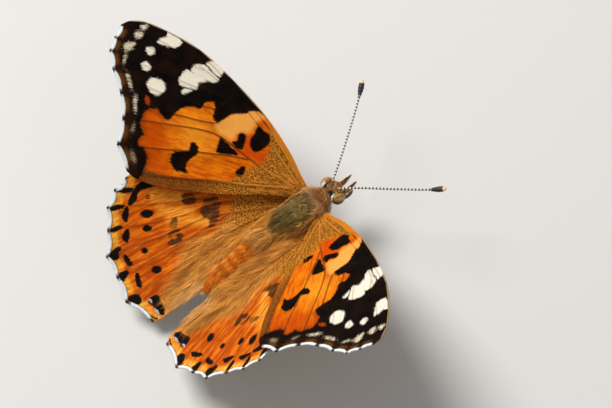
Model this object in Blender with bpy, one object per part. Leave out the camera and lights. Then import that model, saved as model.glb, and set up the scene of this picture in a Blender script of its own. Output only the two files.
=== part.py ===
"""A painted lady butterfly at rest with its wings half raised, life size.

Lengths below are in millimetres. The body frame has its origin at the middle of the
thorax, +Y towards the head, +X to the insect's right and +Z up. The finished insect is
pitched a little head up, stands on four feet at z = 0 and is centred on the origin.
"""
import math

import bmesh
import bpy
from mathutils import Matrix, Vector
from mathutils.geometry import delaunay_2d_cdt

MM = 0.001
GAP = 0.3            # clear space kept between touching pieces
SHARP_ANGLE = 50.0   # degrees at which an edge is shaded as a crease
PITCH = 6.0          # degrees that the head is raised above the tail
RIDE_HEIGHT = 7.7    # middle of the thorax above the ground

# Body: stations are (y, half width, height above the axis, depth below it)
THORAX = [(3.95, 1.1, 1.05, 1.05), (3.75, 1.45, 1.3, 1.3), (3.1, 2.0, 1.72, 1.72),
          (2.2, 2.3, 1.95, 1.95), (1.0, 2.5, 2.15, 2.1), (-0.5, 2.42, 2.15, 2.1), (-1.8, 2.1, 1.85, 1.85),
          (-2.8, 1.6, 1.45, 1.5), (-3.4, 1.15, 1.1, 1.1), (-3.55, 0.9, 0.85, 0.85)]
THORAX_RINGS = 20
ABDOMEN_FRONT = -3.85
ABDOMEN_TIP = -15.5
ABDOMEN_SEGMENTS = 8
RINGS_PER_SEGMENT = 4
ABDOMEN_HALF_WIDTH = 1.36
ABDOMEN_FLATNESS = (0.98, 0.95)    # height above and depth below the axis, as shares of the half width
ABDOMEN_TIP_SHIFT = (0.3, -2.0)    # how far the tip hangs to the right of the front and above it
ABDOMEN_BEND = 1.6                 # the greater, the nearer to the tip it bends
SEGMENT_GROOVE = 0.09
BODY_SIDES = 28
BODY_SQUARENESS = 0.9    # 1 gives ellipses, less gives fuller corners

HEAD_CENTRE = (0.0, 5.4, 0.0)
HEAD_RADII = (1.5, 1.2, 1.22)
NECK_Y = 4.28         # flat back of the head
EYE_CENTRE = (1.42, 5.45, 0.0)
EYE_RADII = (0.68, 0.92, 1.0)

ANTENNA_BASE = (0.65, 6.36, 1.18)
ANTENNA_BEND = (5.0, 11.4, 1.5)
ANTENNA_TIP = (10.2, 17.1, 1.6)
ANTENNA_SHAFT = 0.26   # radii
ANTENNA_CLUB = 0.48
CLUB_SHARE = 0.16      # of the length

PALP_PATH = [(0.68, 6.46, -1.24), (0.66, 7.3, -0.95), (0.62, 8.6, -0.5)]
PALP_RADII = (0.3, 0.36, 0.16)

COIL_CENTRE = (6.85, -2.55)   # y and z of the rolled tongue
COIL_RADIUS = 0.9
COIL_TURNS = 1.0
COIL_PITCH = 0.67      # how much the coil narrows in a turn
COIL_STEPS = 22
TONGUE_ROOT = [(0.0, 5.75, -1.54), (0.0, 5.86, -2.05)]
TONGUE_RADIUS = 0.25

# Legs: (x, y, z) on the insect's right; hips are in the body frame, the rest above the ground
LEGS = {
    "mid": {"hip": (1.78, 0.5, -2.29), "knee": (4.4, 2.3, 5.9), "ankle": (5.7, 3.0, 1.3), "toe": (7.7, 4.1),
            "bend_room": 0.55},
    "hind": {"hip": (1.5, -1.65, -2.2), "knee": (3.3, -5.0, 5.3), "ankle": (5.0, -9.0, 1.4), "toe": (6.4, -12.2),
             "bend_room": 0.32},
}
LEFT_STEP = {"mid": -0.5, "hind": 0.7}    # how far each left foot is ahead of the right one
FEMUR_RADII = (0.35, 0.44, 0.37)
TIBIA_RADII = (0.29, 0.34, 0.34)
TARSUS_RADII = (0.28, 0.28, 0.27, 0.24)
TOE_HEIGHT = 0.2       # less than the radius there, so that the sole is cut flat
ANKLE_ROOM = 0.2       # from the ankle to the start of the tarsus
FORELEG_PATH = [(1.0, 1.9, -2.45), (0.98, 3.2, -2.6), (0.92, 4.35, -1.95)]
FORELEG_RADII = (0.3, 0.36, 0.2)
END_ROUNDING = (0.3, 0.55)    # bevel at the ends of a tube: its length and its end radius, in radii

# Wings: u runs outwards from the root, v forwards; both lie in the wing's own plane
WING_THICKNESS = 0.5
VEIN_RISE = 0.13
VEIN_HALF_WIDTH = 0.34
MESH_SIZE = 2.3        # spacing of the membrane's inner points
EDGE_STEP = 1.15       # spacing of points along the outline
VEIN_STEP = 1.9
SINK_FADE = (-19.0, -10.0)    # v between which a wing's sunken root sets in

FORE = {
    "hinge": (3.19, 2.58, 1.05),
    "camber": (-0.048, -0.075, -0.105),    # share of u*u, u*v and v*v over 20
    "sink": (0.0, 1.0),
    "angles": {"R": (31.8, 2.2, 1.6), "L": (32.2, 1.8, -1.6)},    # dihedral, twist, sweep
    "front": [(-0.6, 0.3), (0.8, 0.75), (4.0, 1.35), (9.4, 1.6), (15.6, 1.0), (21.2, -0.1), (25.4, -1.9),
              (28.3, -3.6), (29.6, -5.1)],
    "tips": [(29.95, -6.4), (29.2, -8.0), (28.2, -9.6), (26.0, -10.7), (23.0, -11.7), (20.2, -13.4),
             (17.9, -16.0), (14.4, -17.0)],
    "rear": [(12.9, -16.6), (10.3, -14.9), (7.6, -12.2), (4.3, -8.4), (2.0, -4.9), (0.4, -2.2), (-0.5, -1.1)],
    "scallop": 0.28,
    "veins": {
        "costal": [(0.3, 0.15), (4.0, 0.75), (9.0, 0.95), (13.6, 0.75)],
        "radius": [(0.4, -0.25), (4.5, -0.05), (8.8, 0.1), (13.0, -0.15), (18.6, -1.1), (24.3, -3.1), (28.4, -5.3)],
        "second radial": [(14.4, -0.35), (17.4, 0.05), (20.3, -0.35)],
        "fifth radial": [(18.9, -1.3), (24.5, -4.7), (28.2, -7.4)],
        "first medial": [(14.2, -1.0), (15.4, -2.0), (21.5, -5.6), (27.1, -9.0)],
        "second medial": [(13.9, -1.2), (13.8, -2.6), (14.6, -3.6), (19.8, -7.4), (25.0, -10.1)],
        "third medial": [(13.6, -3.0), (12.6, -4.2), (17.6, -8.4), (22.1, -11.1)],
        "first cubital": [(0.5, -1.1), (5.5, -3.1), (10.5, -4.6), (12.8, -6.0), (16.4, -9.5), (19.4, -12.7)],
        "second cubital": [(6.4, -3.6), (8.4, -5.5), (12.0, -9.4), (15.2, -13.1), (17.3, -15.3)],
        "anal": [(0.5, -1.6), (3.2, -4.9), (6.6, -8.6), (10.4, -12.9), (13.6, -16.2)],
    },
}
HIND = {
    "hinge": (2.23, -0.64, 0.15),
    "camber": (0.265, -0.044, -0.116),
    "sink": (1.3, 3.0),       # the root dips below its plane by this much, over this reach
    "angles": {"R": (11.3, -4.0, 4.1), "L": (11.2, 0.2, -4.1)},
    "front": [(0.5, 0.9), (3.0, 1.6), (6.5, 1.0), (10.5, -1.9), (13.8, -6.6), (15.3, -11.0), (15.65, -13.6)],
    "tips": [(15.5, -15.7), (14.5, -17.9), (12.4, -19.7), (10.1, -22.0), (7.3, -22.6), (4.2, -23.7), (-0.1, -22.6)],
    "rear": [(-0.6, -21.4), (-0.9, -19.0), (-1.2, -16.8), (-0.9, -15.3), (0.0, -13.6), (0.25, -11.0),
             (0.3, -6.0), (0.25, -1.4)],
    "scallop": 0.42,
    "veins": {
        "subcostal": [(1.5, 0.3), (5.0, 0.1), (9.6, -3.2), (13.2, -8.2), (14.6, -12.2)],
        "radial sector": [(1.7, -0.5), (5.2, -3.2), (10.1, -7.6), (13.4, -12.1), (14.7, -14.9)],
        "second medial": [(6.3, -4.5), (7.6, -7.6), (11.2, -13.2), (13.8, -17.1)],
        "third medial": [(7.2, -7.2), (6.9, -9.3), (9.3, -14.4), (11.8, -18.7)],
        "first cubital": [(1.4, -1.3), (3.3, -5.0), (5.4, -8.7), (7.1, -14.0), (9.6, -20.9)],
        "second cubital": [(4.0, -6.4), (4.7, -11.0), (5.7, -16.5), (6.9, -21.5)],
        "first anal": [(1.2, -1.6), (2.0, -7.0), (2.7, -13.0), (3.4, -18.5), (3.9, -22.5)],
        "second anal": [(1.0, -3.2), (1.1, -9.5), (0.9, -15.8), (0.4, -20.6)],
    },
}

COLOURS = {
    "thorax": ((0.17, 0.13, 0.05), 0.85),
    "abdomen": ((0.42, 0.18, 0.05), 0.8),
    "head": ((0.30, 0.17, 0.06), 0.8),
    "eye": ((0.36, 0.26, 0.10), 0.3),
    "antenna": ((0.05, 0.04, 0.03), 0.5),
    "palp": ((0.42, 0.20, 0.07), 0.8),
    "proboscis": ((0.12, 0.06, 0.03), 0.45),
    "leg": ((0.36, 0.25, 0.13), 0.6),
    "forewing": ((0.66, 0.26, 0.06), 0.7),
    "hindwing": ((0.62, 0.27, 0.07), 0.7),
}


def clear_scene():
    """Empty the file of whatever it opened with."""
    for item in list(bpy.data.objects):
        bpy.data.objects.remove(item, do_unlink=True)


def body_pose():
    """Placement of the body frame above the ground, head raised by PITCH."""
    return Matrix.Translation((0, 0, RIDE_HEIGHT)) @ Matrix.Rotation(math.radians(PITCH), 4, "X")


def material(kind):
    """The Principled material of one kind of sub-part."""
    found = bpy.data.materials.get(kind)
    if found:
        return found
    colour, roughness = COLOURS[kind]
    made = bpy.data.materials.new(kind)
    made.use_nodes = True
    shader = made.node_tree.nodes["Principled BSDF"]
    shader.inputs["Base Color"].default_value = (*colour, 1.0)
    shader.inputs["Roughness"].default_value = roughness
    shader.inputs["Metallic"].default_value = 0.0
    return made


def publish(name, kind, shape, placement=None):
    """Turn a bmesh in millimetres into a named object in metres."""
    if placement is not None:
        shape.transform(placement)
    bmesh.ops.recalc_face_normals(shape, faces=shape.faces)
    shape.transform(Matrix.Scale(MM, 4))
    mesh = bpy.data.meshes.new(name)
    shape.to_mesh(mesh)
    shape.free()
    mesh.shade_smooth()
    mesh.set_sharp_from_angle(angle=math.radians(SHARP_ANGLE))
    mesh.materials.append(material(kind))
    made = bpy.data.objects.new(name, mesh)
    bpy.context.scene.collection.objects.link(made)
    return made


def mirrored(point, side):
    """A right-hand point as it lies on the given side."""
    x, y, z = point
    return Vector((x if side == "R" else -x, y, z))


def spline(points, step):
    """Even points about step apart on the Catmull-Rom curve through the given ones."""
    anchors = [Vector(p) for p in points]
    anchors = [2 * anchors[0] - anchors[1]] + anchors + [2 * anchors[-1] - anchors[-2]]
    fine = []
    for before, start, end, after in zip(anchors, anchors[1:], anchors[2:], anchors[3:]):
        for k in range(24):
            t = k / 24
            fine.append(0.5 * (2 * start + (end - before) * t
                               + (2 * before - 5 * start + 4 * end - after) * t ** 2
                               + (3 * start - before - 3 * end + after) * t ** 3))
    fine.append(anchors[-2])
    lengths = [0.0]
    for a, b in zip(fine, fine[1:]):
        lengths.append(lengths[-1] + (b - a).length)
    count = max(2, round(lengths[-1] / step))
    even = []
    k = 0
    for i in range(count + 1):
        target = lengths[-1] * i / count
        while k < len(fine) - 2 and lengths[k + 1] < target:
            k += 1
        share = (target - lengths[k]) / (lengths[k + 1] - lengths[k])
        even.append(fine[k].lerp(fine[k + 1], share))
    return even


def loft(rings):
    """Closed skin over a row of rings of vectors, with a fan over each end."""
    shape = bmesh.new()
    rows = [[shape.verts.new(p) for p in ring] for ring in rings]
    sides = len(rows[0])
    for low, high in zip(rows, rows[1:]):
        for i in range(sides):
            j = (i + 1) % sides
            shape.faces.new((low[i], low[j], high[j], high[i]))
    for ring in (rows[0], rows[-1]):
        centre = sum((v.co for v in ring), Vector()) / sides
        hub = shape.verts.new(centre)
        for i in range(sides):
            shape.faces.new((ring[i], ring[(i + 1) % sides], hub))
    return shape


def tube(path, radii, sides):
    """Round tube along a path, its radius given at each point, with rounded ends."""
    path = [Vector(p) for p in path]
    bevel, end_radius = END_ROUNDING
    tangents = [(b - a).normalized() for a, b in zip([path[0]] + path, path[1:] + [path[-1]]) if (b - a).length]
    tangents = (tangents + [tangents[-1]])[:len(path)]
    across = tangents[0].orthogonal().normalized()
    rings = []
    for i, (centre, ahead, radius) in enumerate(zip(path, tangents, radii)):
        across = (across - ahead * across.dot(ahead)).normalized()
        upward = ahead.cross(across)
        ring = [across * math.cos(a) + upward * math.sin(a)
                for a in (2 * math.pi * k / sides for k in range(sides))]
        if i == 0:
            rings.append([centre + end_radius * radius * d for d in ring])
            centre = centre + ahead * bevel * radius
        if i == len(path) - 1:
            centre = centre - ahead * bevel * radius
        rings.append([centre + radius * d for d in ring])
        if i == len(path) - 1:
            rings.append([centre + ahead * bevel * radius + end_radius * radius * d for d in ring])
    return loft(rings)


def varied(stations, count):
    """Radii at count places, running smoothly through the given ones."""
    last = len(stations) - 1
    values = []
    for i in range(count):
        place = last * i / (count - 1)
        k = min(int(place), last - 1)
        t = place - k
        t = t * t * (3 - 2 * t)
        values.append(stations[k] * (1 - t) + stations[k + 1] * t)
    return values


def ellipsoid(centre, radii, segments, rings):
    """Ellipsoid with its poles along X."""
    shape = bmesh.new()
    bmesh.ops.create_uvsphere(shape, u_segments=segments, v_segments=rings, radius=1.0)
    shape.transform(Matrix.Rotation(math.pi / 2, 4, "Y"))
    shape.transform(Matrix.Translation(centre) @ Matrix.Diagonal((*radii, 1.0)))
    return shape


def body_ring(y, half_width, above, below, shift=(0.0, 0.0)):
    """One cross-section of the body: two half ellipses, a little squared, about (shift x, y, shift z)."""
    ring = []
    for k in range(BODY_SIDES):
        a = 2 * math.pi * k / BODY_SIDES
        c, s = math.cos(a), math.sin(a)
        x = half_width * math.copysign(abs(c) ** BODY_SQUARENESS, c)
        z = (above if s > 0 else below) * math.copysign(abs(s) ** BODY_SQUARENESS, s)
        ring.append(Vector((shift[0] + x, y, shift[1] + z)))
    return ring


def build_thorax():
    """Barrel of the thorax, blunt at the neck and the waist."""
    rings = []
    for i in range(THORAX_RINGS):
        y = THORAX[0][0] + (THORAX[-1][0] - THORAX[0][0]) * i / (THORAX_RINGS - 1)
        rings.append(body_ring(y, *(station_value(y, k) for k in range(1, 4))))
    return publish("thorax", "thorax", loft(rings), body_pose())


def station_value(y, column):
    """A size of the thorax at y, in proportion between the two stations about it."""
    for ahead, behind in zip(THORAX, THORAX[1:]):
        if behind[0] <= y <= ahead[0]:
            t = (ahead[0] - y) / (ahead[0] - behind[0])
            return ahead[column] * (1 - t) + behind[column] * t
    return THORAX[-1][column]


def abdomen_half_width(along):
    """Half width of the abdomen from 0 at the waist to 1 at the tip."""
    swell = math.sin(math.pi * min(1.0, 0.16 + 0.62 * along ** 0.8)) ** 0.55
    taper = max(0.0, 1.0 - max(0.0, (along - 0.8) / 0.2) ** 2.2 * 0.68)
    return ABDOMEN_HALF_WIDTH * swell * taper


def build_abdomen():
    """Tapering abdomen with a shallow groove between its segments."""
    rings = []
    steps = ABDOMEN_SEGMENTS * RINGS_PER_SEGMENT
    for i in range(steps + 1):
        along = i / steps
        y = ABDOMEN_FRONT + (ABDOMEN_TIP - ABDOMEN_FRONT) * along
        groove = SEGMENT_GROOVE if i % RINGS_PER_SEGMENT == 0 and 0 < i < steps else 0.0
        radius = abdomen_half_width(along) - groove
        shift = [s * along ** ABDOMEN_BEND for s in ABDOMEN_TIP_SHIFT]
        rings.append(body_ring(y, radius, *(radius * share for share in ABDOMEN_FLATNESS), shift))
    return publish("abdomen", "abdomen", loft(rings), body_pose())


def build_head():
    """Head with a hollow on each side in which the eye sits."""
    shape = ellipsoid(HEAD_CENTRE, HEAD_RADII, 28, 18)
    cut = bmesh.ops.bisect_plane(shape, geom=shape.verts[:] + shape.edges[:] + shape.faces[:],
                                 plane_co=(0, NECK_Y, 0), plane_no=(0, -1, 0), clear_outer=True)
    rim = [e for e in cut["geom_cut"] if isinstance(e, bmesh.types.BMEdge)]
    bmesh.ops.holes_fill(shape, edges=rim, sides=0)
    head = publish("head", "head", shape, body_pose())
    seats = []
    for side in "LR":
        seat_radii = [r + GAP for r in EYE_RADII]
        seat = publish("eye_seat_" + side, "head",
                       ellipsoid(mirrored(EYE_CENTRE, side), seat_radii, 20, 14), body_pose())
        cutter = head.modifiers.new("seat " + side, "BOOLEAN")
        cutter.operation = "DIFFERENCE"
        cutter.object = seat
        seats.append(seat)
    bpy.context.view_layer.update()
    finished = bpy.data.meshes.new_from_object(head.evaluated_get(bpy.context.evaluated_depsgraph_get()))
    head.modifiers.clear()
    head.data = finished
    for seat in seats:
        bpy.data.objects.remove(seat, do_unlink=True)
    return head


def build_eye(side):
    """Large oval compound eye."""
    return publish("eye_" + side, "eye", ellipsoid(mirrored(EYE_CENTRE, side), EYE_RADII, 18, 12), body_pose())


def build_antenna(side):
    """Slender feeler that ends in a flattened club."""
    path = spline([mirrored(p, side) for p in (ANTENNA_BASE, ANTENNA_BEND, ANTENNA_TIP)], 0.45)
    radii = []
    for i in range(len(path)):
        left = (1 - i / (len(path) - 1)) / CLUB_SHARE
        swell = math.sin(math.pi * min(1.0, left) * 0.62 + 0.38 * math.pi) if left < 1 else 0.0
        tip = min(1.0, 0.35 + 2.6 * left)
        radii.append((ANTENNA_SHAFT + (ANTENNA_CLUB - ANTENNA_SHAFT) * max(0.0, swell) ** 0.8) * tip)
    return publish("antenna_" + side, "antenna", tube(path, radii, 8), body_pose())


def build_palp(side):
    """Furry feeler beside the tongue."""
    path = spline([mirrored(p, side) for p in PALP_PATH], 0.3)
    return publish("palp_" + side, "palp", tube(path, varied(PALP_RADII, len(path)), 12), body_pose())


def build_proboscis():
    """Tongue rolled up below the head, hung from the mouth by a short straight stretch."""
    y0, z0 = COIL_CENTRE
    path = [Vector(p) for p in TONGUE_ROOT]
    for i in range(COIL_STEPS + 1):
        turn = COIL_TURNS * i / COIL_STEPS
        radius = COIL_RADIUS - COIL_PITCH * turn
        a = math.pi + 2 * math.pi * turn
        path.append(Vector((0, y0 + radius * math.cos(a), z0 + radius * math.sin(a))))
    radii = [TONGUE_RADIUS] * len(path)
    return publish("proboscis", "proboscis", tube(path, radii, 8), body_pose())


def build_leg(pair, side):
    """Femur, tibia and tarsus of one walking leg; the tarsus rests on a narrow flat."""
    sizes = LEGS[pair]
    step = LEFT_STEP[pair] if side == "L" else 0.0
    hip = body_pose() @ mirrored(sizes["hip"], side)
    knee = mirrored(sizes["knee"], side) + Vector((0, step * 0.4, 0))
    ankle = mirrored(sizes["ankle"], side) + Vector((0, step * 0.8, 0))
    toe = mirrored((*sizes["toe"], TOE_HEIGHT), side) + Vector((0, step, 0))
    sole = ankle.lerp(toe, 0.4)
    sole.z = toe.z
    outward = (knee - hip).normalized()
    down = (ankle - knee).normalized()
    femur = [hip, knee - outward * GAP * 0.5]
    tibia = [knee + down * sizes["bend_room"], ankle - down * GAP * 0.5]
    along = (sole - ankle).normalized()
    tarsus = [ankle + along * ANKLE_ROOM, sole, sole.lerp(toe, 0.5), toe]
    for bone, ends, radii in (("femur", femur, FEMUR_RADII), ("tibia", tibia, TIBIA_RADII)):
        path = spline(ends, 0.75)
        publish(f"leg_{pair}_{side}_{bone}", "leg", tube(path, varied(radii, len(path)), 10))
    path = spline(tarsus, 0.5)
    foot = tube(path, varied(TARSUS_RADII, len(path)), 10)
    cut = bmesh.ops.bisect_plane(foot, geom=foot.verts[:] + foot.edges[:] + foot.faces[:],
                                 plane_co=(0, 0, 0), plane_no=(0, 0, -1), clear_outer=True)
    rim = [e for e in cut["geom_cut"] if isinstance(e, bmesh.types.BMEdge)]
    bmesh.ops.holes_fill(foot, edges=rim, sides=0)
    publish(f"leg_{pair}_{side}_tarsus", "leg", foot)


def build_foreleg(side):
    """Short brush leg folded against the breast, as in all of this family."""
    path = spline([mirrored(p, side) for p in FORELEG_PATH], 0.4)
    return publish("leg_fore_" + side, "leg", tube(path, varied(FORELEG_RADII, len(path)), 10), body_pose())


def scalloped(tips, depth):
    """Outer margin through the vein tips, drawn in a little between each two."""
    middle = Vector((0, 0))
    for tip in tips:
        middle += Vector(tip) / len(tips)
    points = []
    for a, b in zip(tips, tips[1:]):
        a, b = Vector(a), Vector(b)
        inward = Vector((b.y - a.y, a.x - b.x)).normalized()
        if inward.dot(middle - (a + b) / 2) < 0 and inward.dot(-a) < 0:
            inward = -inward
        count = max(3, round((b - a).length / EDGE_STEP))
        for i in range(count):
            t = i / count
            points.append(a.lerp(b, t) + inward * depth * math.sin(math.pi * t))
    points.append(Vector(tips[-1]))
    return points


def wing_outline(sizes):
    """Closed outline: front margin, scalloped outer margin, rear margin and root."""
    front = spline([(*p, 0) for p in sizes["front"] + sizes["tips"][:1]], EDGE_STEP)
    rear = spline([(*p, 0) for p in sizes["tips"][-1:] + sizes["rear"]], EDGE_STEP)
    outer = scalloped(sizes["tips"], sizes["scallop"])
    return [p.to_2d() for p in front[:-1]] + outer + [p.to_2d() for p in rear[1:]]


def wing_surface(sizes, side):
    """Function from (u, v) in the wing's plane to its cambered middle surface in the body frame."""
    dihedral, twist, sweep = (math.radians(a) for a in sizes["angles"][side])
    turn = (Matrix.Rotation(-dihedral, 3, "Y") @ Matrix.Rotation(twist, 3, "X")
            @ Matrix.Rotation(sweep, 3, "Z"))
    hinge = Vector(sizes["hinge"])
    a, b, c = sizes["camber"]
    depth, reach = sizes["sink"]
    none, full = SINK_FADE

    def surface(u, v):
        fade = min(1.0, max(0.0, (v - none) / (full - none)))
        sink = depth * math.exp(-max(u, 0.0) / reach) * fade * fade * (3 - 2 * fade)
        height = (a * u * u + b * u * v + c * v * v) / 20 - sink
        return mirrored(hinge + turn @ Vector((u, v, height)), side)

    return surface


def distance_to_line(point, line):
    """Shortest distance from a point to a polyline in the plane."""
    best = 1e9
    for a, b in zip(line, line[1:]):
        run = b - a
        t = max(0.0, min(1.0, (point - a).dot(run) / run.length_squared))
        best = min(best, (point - a - run * t).length)
    return best


def inside(point, loop):
    """Whether a point of the plane lies inside a closed loop."""
    hit = False
    for a, b in zip(loop, loop[1:] + loop[:1]):
        if (a.y > point.y) != (b.y > point.y):
            if point.x < a.x + (b.x - a.x) * (point.y - a.y) / (b.y - a.y):
                hit = not hit
    return hit


def wing_plan(sizes):
    """Plane triangles of a wing and each point's share of the vein height.

    Every vein gives a crest line and a foot line on either side of it, so that its ridge
    has a sharp edge. Points between the veins stand in rows, each row half a step along.
    """
    outline = wing_outline(sizes)
    points = list(outline)
    edges = [(i, (i + 1) % len(outline)) for i in range(len(outline))]
    veins = [[p.to_2d() for p in spline([(*q, 0) for q in line], VEIN_STEP)] for line in sizes["veins"].values()]
    for vein in veins:
        for offset in (-VEIN_HALF_WIDTH, 0.0, VEIN_HALF_WIDTH):
            first = len(points)
            for i, p in enumerate(vein):
                ahead = vein[min(i + 1, len(vein) - 1)] - vein[max(i - 1, 0)]
                across = Vector((-ahead.y, ahead.x)).normalized()
                points.append(p + across * offset)
            edges += [(first + i, first + i + 1) for i in range(len(vein) - 1)]
    low = [min(p[k] for p in outline) for k in (0, 1)]
    high = [max(p[k] for p in outline) for k in (0, 1)]
    rows = int((high[1] - low[1]) / MESH_SIZE)
    columns = int((high[0] - low[0]) / MESH_SIZE)
    rim = outline + outline[:1]
    for i in range(rows + 1):
        for j in range(columns + 1):
            p = Vector((low[0] + (j + 0.5 * (i % 2)) * MESH_SIZE, low[1] + (i + 0.5) * MESH_SIZE))
            if not inside(p, outline) or distance_to_line(p, rim) < 0.5 * MESH_SIZE:
                continue
            if min(distance_to_line(p, vein) for vein in veins) > VEIN_HALF_WIDTH + 0.3 * MESH_SIZE:
                points.append(p)
    loop = list(range(len(outline)))[::-1]
    placed, _, triangles, _, _, owners = delaunay_2d_cdt(points, edges, [loop], 1, 1e-4)
    rises = [max(0.0, 1 - min(distance_to_line(p, vein) for vein in veins) / VEIN_HALF_WIDTH) for p in placed]
    return placed, [t for t, owner in zip(triangles, owners) if owner], rises


def build_wing(name, kind, sizes, plan, side):
    """Thin cambered plate with raised veins, cut into the same triangles on both faces."""
    placed, triangles, rises = plan
    surface = wing_surface(sizes, side)
    shape = bmesh.new()
    faces = []
    step = 0.05
    for sign in (1, -1):
        layer = []
        for p, rise in zip(placed, rises):
            here = surface(p.x, p.y)
            normal = (surface(p.x + step, p.y) - here).cross(surface(p.x, p.y + step) - here).normalized()
            if normal.z < 0:
                normal = -normal
            layer.append(shape.verts.new(here + normal * sign * (WING_THICKNESS / 2 + VEIN_RISE * rise)))
        faces.append(layer)
    upper, lower = faces
    border = {}
    for a, b, c in triangles:
        shape.faces.new((upper[a], upper[b], upper[c]))
        shape.faces.new((lower[c], lower[b], lower[a]))
        for i, j in ((a, b), (b, c), (c, a)):
            if (j, i) in border:
                del border[(j, i)]
            else:
                border[(i, j)] = True
    for i, j in border:
        shape.faces.new((upper[i], lower[i], lower[j]))
        shape.faces.new((upper[i], lower[j], upper[j]))
    loose = [v for v in shape.verts if not v.link_faces]
    bmesh.ops.delete(shape, geom=loose, context="VERTS")
    return publish(name, kind, shape, body_pose())


def centre_on_origin():
    """Slide all pieces together so that their common box is centred over the origin."""
    pieces = list(bpy.context.scene.objects)
    corners = [v.co for item in pieces for v in item.data.vertices]
    middle = [(min(c[k] for c in corners) + max(c[k] for c in corners)) / 2 for k in (0, 1)]
    for item in pieces:
        item.data.transform(Matrix.Translation((-middle[0], -middle[1], 0)))


def build_butterfly():
    """All sub-parts, then the whole insect centred over the origin."""
    clear_scene()
    build_thorax()
    build_abdomen()
    build_head()
    build_proboscis()
    plans = {"forewing": (FORE, wing_plan(FORE)), "hindwing": (HIND, wing_plan(HIND))}
    for side in "LR":
        build_eye(side)
        build_antenna(side)
        build_palp(side)
        build_foreleg(side)
        for pair in LEGS:
            build_leg(pair, side)
        for kind, (sizes, plan) in plans.items():
            build_wing(kind + "_" + side, kind, sizes, plan, side)
    centre_on_origin()


build_butterfly()
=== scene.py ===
import math

import bpy
import numpy as np
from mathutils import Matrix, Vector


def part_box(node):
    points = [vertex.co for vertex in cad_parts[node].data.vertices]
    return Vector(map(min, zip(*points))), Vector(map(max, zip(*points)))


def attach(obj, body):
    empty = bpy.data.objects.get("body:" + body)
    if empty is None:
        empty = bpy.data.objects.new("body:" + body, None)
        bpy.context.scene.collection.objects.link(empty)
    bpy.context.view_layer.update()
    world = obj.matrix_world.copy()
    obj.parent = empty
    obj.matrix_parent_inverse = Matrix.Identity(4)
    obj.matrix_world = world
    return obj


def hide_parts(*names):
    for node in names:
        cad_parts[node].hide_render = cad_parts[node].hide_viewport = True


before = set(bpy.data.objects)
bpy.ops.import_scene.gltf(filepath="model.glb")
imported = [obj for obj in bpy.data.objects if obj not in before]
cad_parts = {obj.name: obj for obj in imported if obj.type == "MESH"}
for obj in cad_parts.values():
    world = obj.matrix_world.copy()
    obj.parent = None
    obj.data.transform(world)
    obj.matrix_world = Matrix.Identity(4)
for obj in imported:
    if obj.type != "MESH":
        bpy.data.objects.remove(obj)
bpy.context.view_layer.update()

# The insect's stance. Its body frame has the middle of the thorax as origin, +Y to the
# head, +X to its right and +Z up, in millimetres; the solids' eyes say where that lies.
MM = 0.001
PITCH = math.radians(6.0)
EYE_CENTRE = np.array([1.42, 5.45, 0.0])
TURN = np.array([[1.0, 0.0, 0.0],
                 [0.0, math.cos(PITCH), -math.sin(PITCH)],
                 [0.0, math.sin(PITCH), math.cos(PITCH)]])
EYE_MIDDLES = [np.mean(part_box("eye_" + side), axis=0) for side in "LR"]
ORIGIN = np.mean(EYE_MIDDLES, axis=0) - TURN @ (EYE_CENTRE * (0, 1, 1)) * MM
SIDES = {"L": -1.0, "R": 1.0}


def stand(points):
    """Points of the body frame in millimetres, turned by the pitch and set down in metres."""
    return points @ TURN.T * MM + ORIGIN


# The skin of the body: head, neck, thorax and abdomen are one closed horny shell, narrow at
# the neck and the waist. The abdomen is a row of rings, each slipped a little over the next.
# Every other surface is made and finished with the helpers that follow.
class Signal:
    """A shader socket that carries a number; arithmetic on it adds Math nodes."""

    def __init__(self, finish, socket):
        self.finish = finish
        self.socket = socket

    def _math(self, operation, first, second):
        return self.finish.node("ShaderNodeMath", {"operation": operation}, {0: first, 1: second})

    def __add__(self, other):
        return self._math("ADD", self, other)

    __radd__ = __add__

    def __sub__(self, other):
        return self._math("SUBTRACT", self, other)

    def __rsub__(self, other):
        return self._math("SUBTRACT", other, self)

    def __mul__(self, other):
        return self._math("MULTIPLY", self, other)

    __rmul__ = __mul__

    def __truediv__(self, other):
        return self._math("DIVIDE", self, other)

    def part(self, which):
        """One part of a vector: 0, 1 or 2."""
        return self.finish.node("ShaderNodeSeparateXYZ", {}, {0: self}, which)

    def smaller(self, other):
        """The smaller of this and another number."""
        return self._math("MINIMUM", self, other)

    def fraction(self):
        """How far a number lies above the whole number below it."""
        return self.finish.node("ShaderNodeMath", {"operation": "FRACT"}, {0: self})

    def rise(self, low, high):
        """0 at low and 1 at high, eased between; low may be above high."""
        return self.finish.node("ShaderNodeMapRange", {"interpolation_type": "SMOOTHSTEP"},
                                {0: self, 1: low, 2: high, 3: 0.0, 4: 1.0})


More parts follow.
